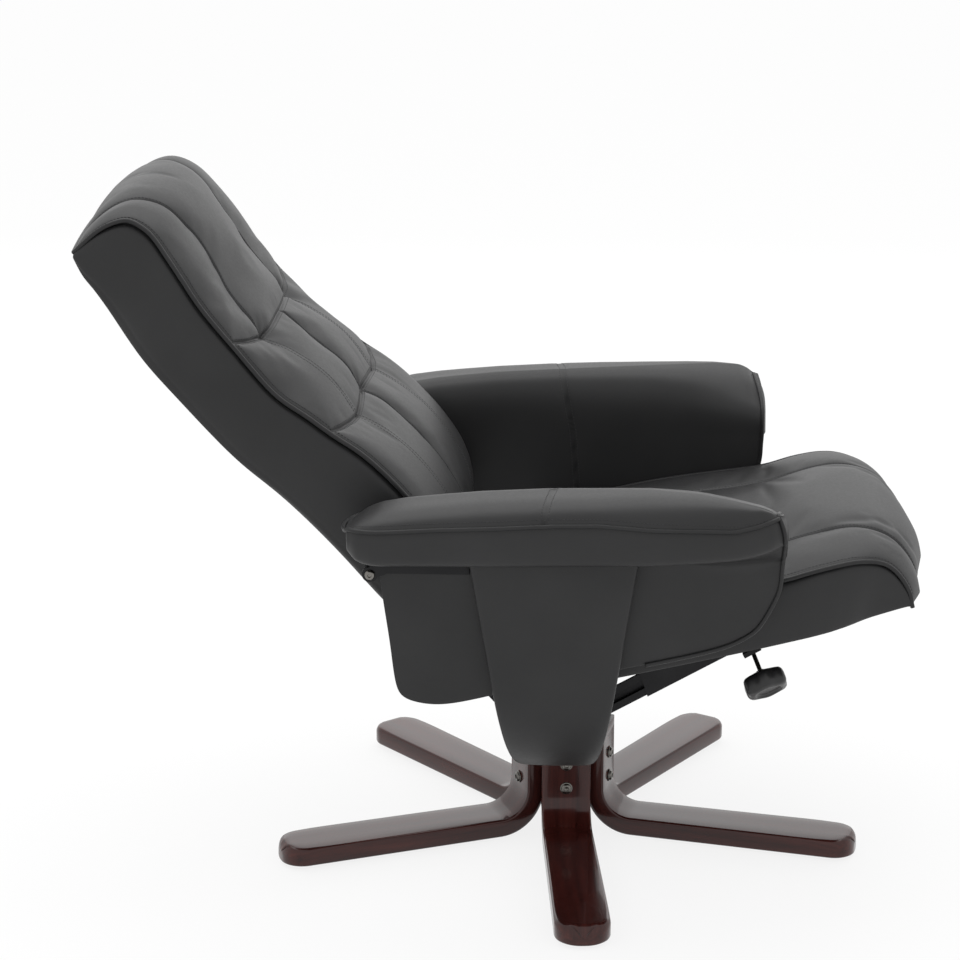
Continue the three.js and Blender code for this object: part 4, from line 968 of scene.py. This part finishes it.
def make_carrier(side, sign):
    bend_end = math.pi / 2 - ARM_LEAN
    bend_top = CARRIER_FLOOR + CARRIER_BEND * (1 - math.cos(bend_end))
    straight = (CARRIER_TOP + 4 - bend_top) / math.cos(ARM_LEAN)
    whole = CARRIER_BEND * bend_end + straight
    rings = []
    for run in np.r_[np.linspace(-CARRIER_FOOT + CARRIER_INNER, 0, 12)[:-1], np.linspace(0, whole, 70)]:
        share = max(run, 0) / whole
        rear, front = (low + (high - low) * share for low, high in (CARRIER_REAR, CARRIER_FRONT))
        angle = min(max(run, 0) / CARRIER_BEND, bend_end)
        extra = max(run - CARRIER_BEND * bend_end, 0)
        outer = np.array([
            CARRIER_FOOT + min(run, 0) + CARRIER_BEND * math.sin(angle) + extra * math.sin(ARM_LEAN),
            CARRIER_FLOOR + CARRIER_BEND * (1 - math.cos(angle)) + extra * math.cos(ARM_LEAN)])
        inward = np.array([-math.sin(angle), math.cos(angle)])
        half_x, half_t = (rear + front) / 2, CARRIER_THICKNESS / 2
        ring = []
        for a in np.linspace(0, 2 * math.pi, CARRIER_SIDES, endpoint=False):
            # a rounded slab section, a little fuller in its middle
            ca, sa = math.cos(a), math.sin(a)
            x = half_x * np.sign(ca) * abs(ca) ** 0.2
            t = half_t * abs(sa) ** 0.38 * np.sign(sa)
            full = CARRIER_FULLNESS * (1 - (x / half_x) ** 2) if sa < 0 else 0
            y, z = outer + inward * (half_t + t - full)
            ring.append(((front - rear) / 2 + x, sign * y, z))
        rings.append(ring)
    rings = np.array(rings)
    rings = rings[rings[:, :, 2].min(axis=1) < CARRIER_TOP + 6]
    points = world_of(rings[..., 0], rings[..., 1], np.minimum(rings[..., 2], CARRIER_TOP))
    placed(loft(f"carrier_cover_{side}", points, leather), "frame", "black_leather", f"carrier_{side}")


# The legs: an upright flange at the hub, a bend, and a tapering foot with a rolled top
LEG_COUNT = 5
FIRST_LEG = math.radians(-85.2)
LEG_THICKNESS = 25
LEG_UNDER = 6.3
LEG_BEND = 38
LEG_BEND_STEPS = 18
LEG_INNER = 39
LEG_TOP = 154
LEG_FOOT = 405
LEG_ROOT_WIDTH, LEG_TIP_WIDTH = 66, 72.5
LEG_CORNER = 30
LEG_ROLL, LEG_END_ROLL, LEG_ROLL_REACH = 3.5, 12, 70
LEG_EASE = 3
LEG_CLEAR = 0.3
LEG_TOP_SHRINK = (1.2, 0.4, 0, 0, 0, 0, 0, 0)
LEG_TOP_STEPS = (0, 0, 0, 1, 2, 3, 4, 5)
LEG_GRAIN_APART = 131
BOLT_HEIGHTS = {"lower": 78, "upper": 112}


def leg_section(half, thickness, ease, ease_up, roll, steps=6):
    """A leg's section: across, and up from its lower face, with eased lower corners and a rolled top."""
    points = [(half - ease, 0), (half - ease * 0.3, ease_up * 0.3), (half, ease_up)]
    for i in range(steps + 1):
        angle = math.pi / 2 * i / steps
        points.append((half - roll + roll * math.cos(angle), thickness - roll + roll * math.sin(angle)))
    crown = [(half * share, thickness + 0.5) for share in (0.6, 0.3, 0)]
    mirror = [(-across, up) for across, up in points][::-1]
    return points + crown + [(-across, up) for across, up in crown[:-1]][::-1] + mirror


def fallen(radius, past):
    """How far a rounded corner has dropped at a place some way past its start."""
    return radius - math.sqrt(max(0, radius**2 - max(0, past) ** 2))


def make_leg(number):
    angle = FIRST_LEG + (number - 1) * 2 * math.pi / LEG_COUNT
    wedge = math.tan(math.pi / LEG_COUNT)
    outer_bend = LEG_BEND + LEG_THICKNESS
    bend_x, bend_z = LEG_INNER + outer_bend, LEG_UNDER + outer_bend

    def half(radius):
        share = (radius - LEG_INNER) / (LEG_FOOT - LEG_INNER)
        return (LEG_ROOT_WIDTH + (LEG_TIP_WIDTH - LEG_ROOT_WIDTH) * share) / 2

    wedge_ease = half(LEG_INNER) - LEG_INNER * wedge + LEG_CLEAR
    wedge_up = wedge_ease / wedge + LEG_CLEAR
    rings, runs = [], []

    def add(middle, inward, width, ease, ease_up, roll, thickness, run):
        rings.append([
            (middle[0] + up * inward[0], across, middle[1] + up * inward[1])
            for across, up in leg_section(width, thickness, ease, ease_up, roll)])
        runs.append(run)

    flange = LEG_TOP - bend_z
    for shrink, step in zip(LEG_TOP_SHRINK, LEG_TOP_STEPS):
        height = LEG_TOP - step / 6 * flange
        add((LEG_INNER, height), (1, 0), half(LEG_INNER) - shrink, wedge_ease, wedge_up, LEG_EASE,
            LEG_THICKNESS - shrink, LEG_TOP - height)
    for i in range(1, LEG_BEND_STEPS + 1):
        share = i / LEG_BEND_STEPS
        turn = share * math.pi / 2
        inward = (math.cos(turn), math.sin(turn))
        middle = (bend_x - outer_bend * inward[0], bend_z - outer_bend * inward[1])
        ease = wedge_ease + (LEG_EASE - wedge_ease) * share
        ease_up = wedge_up * (1 - share) + LEG_EASE * share
        roll = LEG_EASE + (LEG_ROLL - LEG_EASE) * share
        add(middle, inward, half(middle[0]), ease, ease_up, roll, LEG_THICKNESS, flange + turn * LEG_BEND)
    run = flange + math.pi / 2 * LEG_BEND
    corner_x = LEG_FOOT - LEG_CORNER * (1 - np.sin(np.linspace(0, 1, 15)[1:] * math.pi / 2))
    for x in np.r_[np.linspace(bend_x, LEG_FOOT - LEG_CORNER, 14)[1:], corner_x]:
        back = LEG_FOOT - x
        roll = LEG_ROLL + (LEG_END_ROLL - LEG_ROLL) * max(0, 1 - back / LEG_ROLL_REACH) ** 2
        width = half(x) - fallen(LEG_CORNER, LEG_CORNER - back)
        add((x, LEG_UNDER), (0, 1), width, min(LEG_EASE, width / 2), LEG_EASE, min(roll, width * 0.8),
            LEG_THICKNESS - fallen(LEG_END_ROLL, LEG_END_ROLL - back), run + x - bend_x)
    rings = np.array(rings)
    cosine, sine = math.cos(angle), math.sin(angle)
    x = rings[..., 0] * cosine - rings[..., 1] * sine
    y = rings[..., 0] * sine + rings[..., 1] * cosine
    leg = loft(f"wood_leg_{number}", world_of(x, y, rings[..., 2]), wood)
    grain = np.zeros(rings.shape)
    grain[..., 0] = np.array(runs)[:, None]
    grain[..., 1] = rings[..., 1]
    grain[..., 2] = [up for _, up in leg_section(30, LEG_THICKNESS, LEG_EASE, LEG_EASE, 9)]
    grain[..., 2] += number * LEG_GRAIN_APART
    attribute = leg.data.attributes.new("grain", "FLOAT_VECTOR", "POINT")
    attribute.data.foreach_set("vector", (grain * MM).reshape(-1).astype(np.float32))
    placed(leg, "base", "mahogany", f"leg_{number}")
    return angle


def turned(name, profile, origin, axis, material, sides=28):
    """A turned piece: its profile as (out, along) pairs round an axis."""
    turn = Vector(axis).normalized().to_track_quat("Z", "Y").to_matrix()
    circle = [(math.cos(a), math.sin(a)) for a in np.linspace(0, 2 * math.pi, sides, endpoint=False)]
    rings = [
        [tuple(Vector(origin) + turn @ Vector((out * x, out * y, up)) * MM) for x, y in circle]
        for out, up in profile]
    return loft(name, rings, material)


BOLT_EDGE = 0.25
BOLT_PROFILE = [
    (0.1, -18), (2.9, -18), (2.9, 0), (8.2, 0), (8.4, 0.5), (8.4, 1.2), (8.1, 1.6), (6.9, 1.7), (6.9, 2.3),
    (6.5, 3.4), (5.4, 4.4), (3.9, 4.9), (3.1, 4.9), (2.9, 4.6), (2.9, 2.6), (0.1, 2.4),
]
PIVOT_BOLT_PROFILE = [
    (0.1, -66), (4.8, -66), (4.8, 0), (6.4, 0), (6.6, 0.5), (6.5, 1.6), (6, 2.9), (5, 3.9), (3.6, 4.4),
    (2.6, 4.4), (2.5, 4.1), (2.5, 2), (0.1, 1.8),
]


def make_bolt(node, profile, origin, axis, body):
    bolt = turned(f"{node}_head", profile, origin, axis, bolt_metal)
    placed(bevelled(bolt, BOLT_EDGE), body, "bolt_steel", node)


def make_base():
    for number in range(1, LEG_COUNT + 1):
        angle = make_leg(number)
        out = Vector((math.cos(angle), math.sin(angle), 0))
        for place, height in BOLT_HEIGHTS.items():
            seat = Vector((AXIS_X, AXIS_Y, height * MM)) + out * (LEG_INNER + LEG_THICKNESS + 0.6) * MM
            make_bolt(f"leg_{number}_bolt_{place}", BOLT_PROFILE, seat, out, "base")


def plate(name, outline, thickness, place, material):
    """A flat piece: an outline of (u, v) pairs, and place(u, v, w) giving a point in the world."""
    rings = [[place(u, v, w) for u, v in outline] for w in (0, thickness)]
    return bevelled(loft(name, rings, material), 0.8, 3)


def rounded(low, high, radius, steps=7):
    """The outline of a rectangle with its corners rounded, as (u, v) pairs."""
    corners = [np.array(c, float) for c in (low, (high[0], low[1]), high, (low[0], high[1]))]
    points = []
    for before, corner, after in zip(corners[-1:] + corners[:-1], corners, corners[1:] + corners[:1]):
        start = corner + (before - corner) / np.linalg.norm(before - corner) * radius
        end = corner + (after - corner) / np.linalg.norm(after - corner) * radius
        for t in np.linspace(0, 1, steps):
            points.append((1 - t) ** 2 * start + 2 * t * (1 - t) * corner + t**2 * end)
    return points


# The plywood pan under the seat's padding
PAN_REAR, PAN_FRONT, PAN_HALF = 19.5, 451.5, 235.5
PAN_LOW, PAN_THICKNESS, PAN_CORNER = 34.3, 12, 40


def make_pan():
    outline = rounded((PAN_REAR, -PAN_HALF), (PAN_FRONT, PAN_HALF), PAN_CORNER)
    pan = plate("pan_board", outline, PAN_THICKNESS, lambda u, v, w: seat_points(u, PAN_LOW + w, v), board)
    placed(pan, "seat", "frame_board", "seat_pan")


# A web behind each slide rail's slot
RAIL_MIDDLE = (58.6, 235)
RAIL_SLOPE = math.radians(29.7)
WEB_REAR, WEB_FRONT, WEB_HALF = -50, 158, 13
WEB_INSIDE, WEB_THICKNESS, WEB_CORNER = 143.8, 3, 6


def make_web(side, sign):
    def place(u, v, w):
        x = RAIL_MIDDLE[0] + u * math.cos(RAIL_SLOPE) - v * math.sin(RAIL_SLOPE)
        z = RAIL_MIDDLE[1] + u * math.sin(RAIL_SLOPE) + v * math.cos(RAIL_SLOPE)
        return world_of(x, sign * (WEB_INSIDE + w), z)

    outline = rounded((WEB_REAR, -WEB_HALF), (WEB_FRONT, WEB_HALF), WEB_CORNER)
    placed(plate(f"rail_web_{side}", outline, WEB_THICKNESS, place, steel), "frame", "black_steel")


# The pivots of the back: a slim bar under each arm pad with an eye for the bolt
BAR_FRONT, BAR_LOW, BAR_HIGH = -112.8, 461.5, 485.5
BAR_INSIDE, BAR_THICKNESS = 306.1, 5
EYE_RADIUS, EYE_FROM, EYE_TO = 10, math.radians(92), math.radians(338)


def make_pivot(side, sign):
    eye_x, eye_z = (PIVOT_X - AXIS_X) / MM, PIVOT_Z / MM
    outline = [
        (eye_x + EYE_RADIUS * math.cos(a), eye_z + EYE_RADIUS * math.sin(a))
        for a in np.linspace(EYE_FROM, EYE_TO, 22)]
    outline += [
        (eye_x + 22, BAR_LOW), (BAR_FRONT, BAR_LOW), (BAR_FRONT, BAR_HIGH), (eye_x + 12, BAR_HIGH),
        (eye_x + 4, eye_z + 16)]
    bar = plate(
        f"pivot_strap_{side}", outline, BAR_THICKNESS,
        lambda u, v, w: world_of(u, sign * (BAR_INSIDE + w), v), steel)
    placed(bar, "frame", "black_steel", f"pivot_bar_{side}")
    seat = Vector((PIVOT_X, AXIS_Y + sign * (BAR_INSIDE + BAR_THICKNESS) * MM, PIVOT_Z))
    make_bolt(f"pivot_bolt_{side}", PIVOT_BOLT_PROFILE, seat, (0, sign, 0), "frame")


# The clamp's knob: six soft lobes on a stem
KNOB_RADIUS, KNOB_FROM, KNOB_DEPTH = 29.5, 36, 1.14
KNOB_SIDES, KNOB_LOBES, LOBE_DEPTH, LOBE_FROM = 96, 6, 3.4, 0.55
KNOB_PROFILE = [
    (0.12, -2), (0.3, -2), (0.34, 0), (0.8, 0.6), (0.9, 1.6), (0.97, 4), (1, 8), (1, 14), (0.985, 17),
    (0.94, 19.6), (0.86, 21.3), (0.72, 22.2), (0.62, 22.4), (0.58, 21.9), (0.54, 20.6), (0.42, 20),
    (0.2, 19.8), (0.02, 19.8),
]
STEM_PROFILE = [
    (0.1, -12), (2.4, -12), (2.9, -11.4), (2.9, 30), (3.2, 30.2), (5.6, 30.6), (6.2, 31.4), (6.4, 35.5),
    (6, 36.5), (3, 37), (3, 39), (0.1, 39),
]


def make_knob():
    joint = JOINTS["clamp_turn"]
    axis = Vector(joint["axis"]).normalized()
    seat = Vector(joint["pos_m"])
    turn = axis.to_track_quat("Z", "Y").to_matrix()
    rings = []
    for size, up in KNOB_PROFILE:
        ring = []
        deep = LOBE_DEPTH * max(0, (size - LOBE_FROM) / (1 - LOBE_FROM))
        for a in np.linspace(0, 2 * math.pi, KNOB_SIDES, endpoint=False):
            out = KNOB_RADIUS * size - deep * (1 - math.cos(KNOB_LOBES * a)) / 2
            place = Vector((out * math.cos(a), out * math.sin(a), KNOB_FROM + KNOB_DEPTH * up))
            ring.append(tuple(seat + turn @ place * MM))
        rings.append(ring)
    placed(loft("clamp_knob_grip", rings, plastic), "knob", "knob_plastic", "clamp_knob")
    placed(turned("clamp_stem", STEM_PROFILE, seat, axis, bolt_metal, 24), "knob", "knob_plastic")


make_back()
make_seat()
for make in (make_arm, make_carrier):
    for side, sign in SIDES:
        make(side, sign)
make_base()
make_pan()
for make in (make_pivot, make_web):
    for side, sign in SIDES:
        make(side, sign)
make_knob()

# The frame's own solids that stay in view, with the width of their rounded edges
FINISHES = {
    "hub_block": (wood, 0.8), "swivel_bearing": (nylon, 0.5), "swivel_deck": (steel, 0.8),
    "rail_tie": (steel, 0.5), "clamp_bracket": (steel, 0.8), "link_rod": (steel, 0.5),
}
for side, _ in SIDES:
    for part in ("pivot_spacer", "slide_rail", "back_lever", "seat_runner", "link_ear"):
        FINISHES[f"{part}_{side}"] = (steel, 0.6)
    for end in ("front", "rear"):
        FINISHES[f"deck_bolt_{side}_{end}"] = (bolt_metal, 0.4)
for number in range(1, LEG_COUNT + 1):
    FINISHES[f"leg_{number}_glide"] = (nylon, 0.5)
for node, (finish, edge) in FINISHES.items():
    obj = frame["nodes"][node]
    obj.data.materials.clear()
    obj.data.materials.append(finish)
    bevelled(obj, edge)

# Floor, light and camera
FLOOR_SIZE = 60
FLOOR_GLOW = 0.84
WORLD_LIGHT = 0.95
WHITE = (1, 1, 1, 1)


def math_node(tree, operation, first, second):
    result = add_node(tree, "ShaderNodeMath", 0, {0: first, 1: second})
    result.node.operation = operation
    return result


def seen_rays(tree):
    """One for a ray that shows the surroundings: from the camera, or off or through a surface."""
    path = tree.nodes.new("ShaderNodeLightPath")
    total = path.outputs["Is Camera Ray"]
    for ray in ("Is Glossy Ray", "Is Transmission Ray"):
        total = math_node(tree, "MAXIMUM", total, path.outputs[ray])
    return total


def make_floor():
    """A white floor out to the horizon: it glows for the camera, and keeps a soft shadow."""
    half = FLOOR_SIZE / 2
    corners = [(-half, -half, 0), (half, -half, 0), (half, half, 0), (-half, half, 0)]
    material, tree, shader = new_material("pale_floor")
    join(tree, shader, {"Base Color": (0.93, 0.93, 0.93, 1), "Roughness": 0.9, "Specular IOR Level": 0})
    glow = add_node(tree, "ShaderNodeEmission", 0, {"Strength": 1})
    share = math_node(tree, "MULTIPLY", seen_rays(tree), FLOOR_GLOW)
    mix = add_node(tree, "ShaderNodeMixShader", 0, {"Fac": share, 1: shader.outputs[0], 2: glow})
    join(tree, tree.nodes["Material Output"], {"Surface": mix})
    add_mesh("floor", corners, [(0, 1, 2, 3)], material)


def make_world():
    """Even light all round, and plain white wherever the surroundings are seen."""
    world = bpy.data.worlds.new("studio")
    bpy.context.scene.world = world
    world.use_nodes = True
    tree = world.node_tree
    light = tree.nodes["Background"]
    join(tree, light, {"Color": WHITE, "Strength": WORLD_LIGHT})
    shown = add_node(tree, "ShaderNodeBackground", 0, {"Color": WHITE, "Strength": 1})
    mix = add_node(tree, "ShaderNodeMixShader", 0, {"Fac": seen_rays(tree), 1: light.outputs[0], 2: shown})
    join(tree, tree.nodes["World Output"], {"Surface": mix})


def aimed(name, data, place, direction):
    """A lamp or a camera at a place, looking in a direction."""
    obj = bpy.data.objects.new(name, data)
    bpy.context.scene.collection.objects.link(obj)
    obj.location = place
    obj.rotation_mode = "QUATERNION"
    obj.rotation_quaternion = direction.to_track_quat("-Z", "Y")
    return obj


def add_lamp(name, place, target, size, power):
    data = bpy.data.lights.new(name, "AREA")
    data.shape = "RECTANGLE"
    data.size, data.size_y = size
    data.energy = power
    aimed(name, data, place, Vector(target) - Vector(place))


# The camera stands to the chair's right, a little above the arms
CAMERA_TURN = math.radians(2.6)
CAMERA_RISE = math.radians(16.55)
CAMERA_DISTANCE = 3.95
CAMERA_TARGET = (-0.1143, 0, 0.4918)
CAMERA_LENS = 110.95
CAMERA_SENSOR = 36


def make_camera():
    back = Vector((
        math.sin(CAMERA_TURN) * math.cos(CAMERA_RISE), -math.cos(CAMERA_TURN) * math.cos(CAMERA_RISE),
        math.sin(CAMERA_RISE)))
    data = bpy.data.cameras.new("camera")
    data.lens = CAMERA_LENS
    data.sensor_width = CAMERA_SENSOR
    x, y, z = CAMERA_TARGET
    place = Vector((AXIS_X + x, AXIS_Y + y, z)) + back * CAMERA_DISTANCE
    bpy.context.scene.camera = aimed("camera", data, place, -back)


make_floor()
make_world()
add_lamp("sky_softbox", (-0.2, 0.8, 3.2), (0, 0, 0.4), (3.6, 2.2), 44)
add_lamp("back_softbox", (0, 3.4, 1.7), (0, 0, 0.6), (4.2, 2.0), 16)
make_camera()
bpy.context.scene.view_settings.view_transform = "Standard"
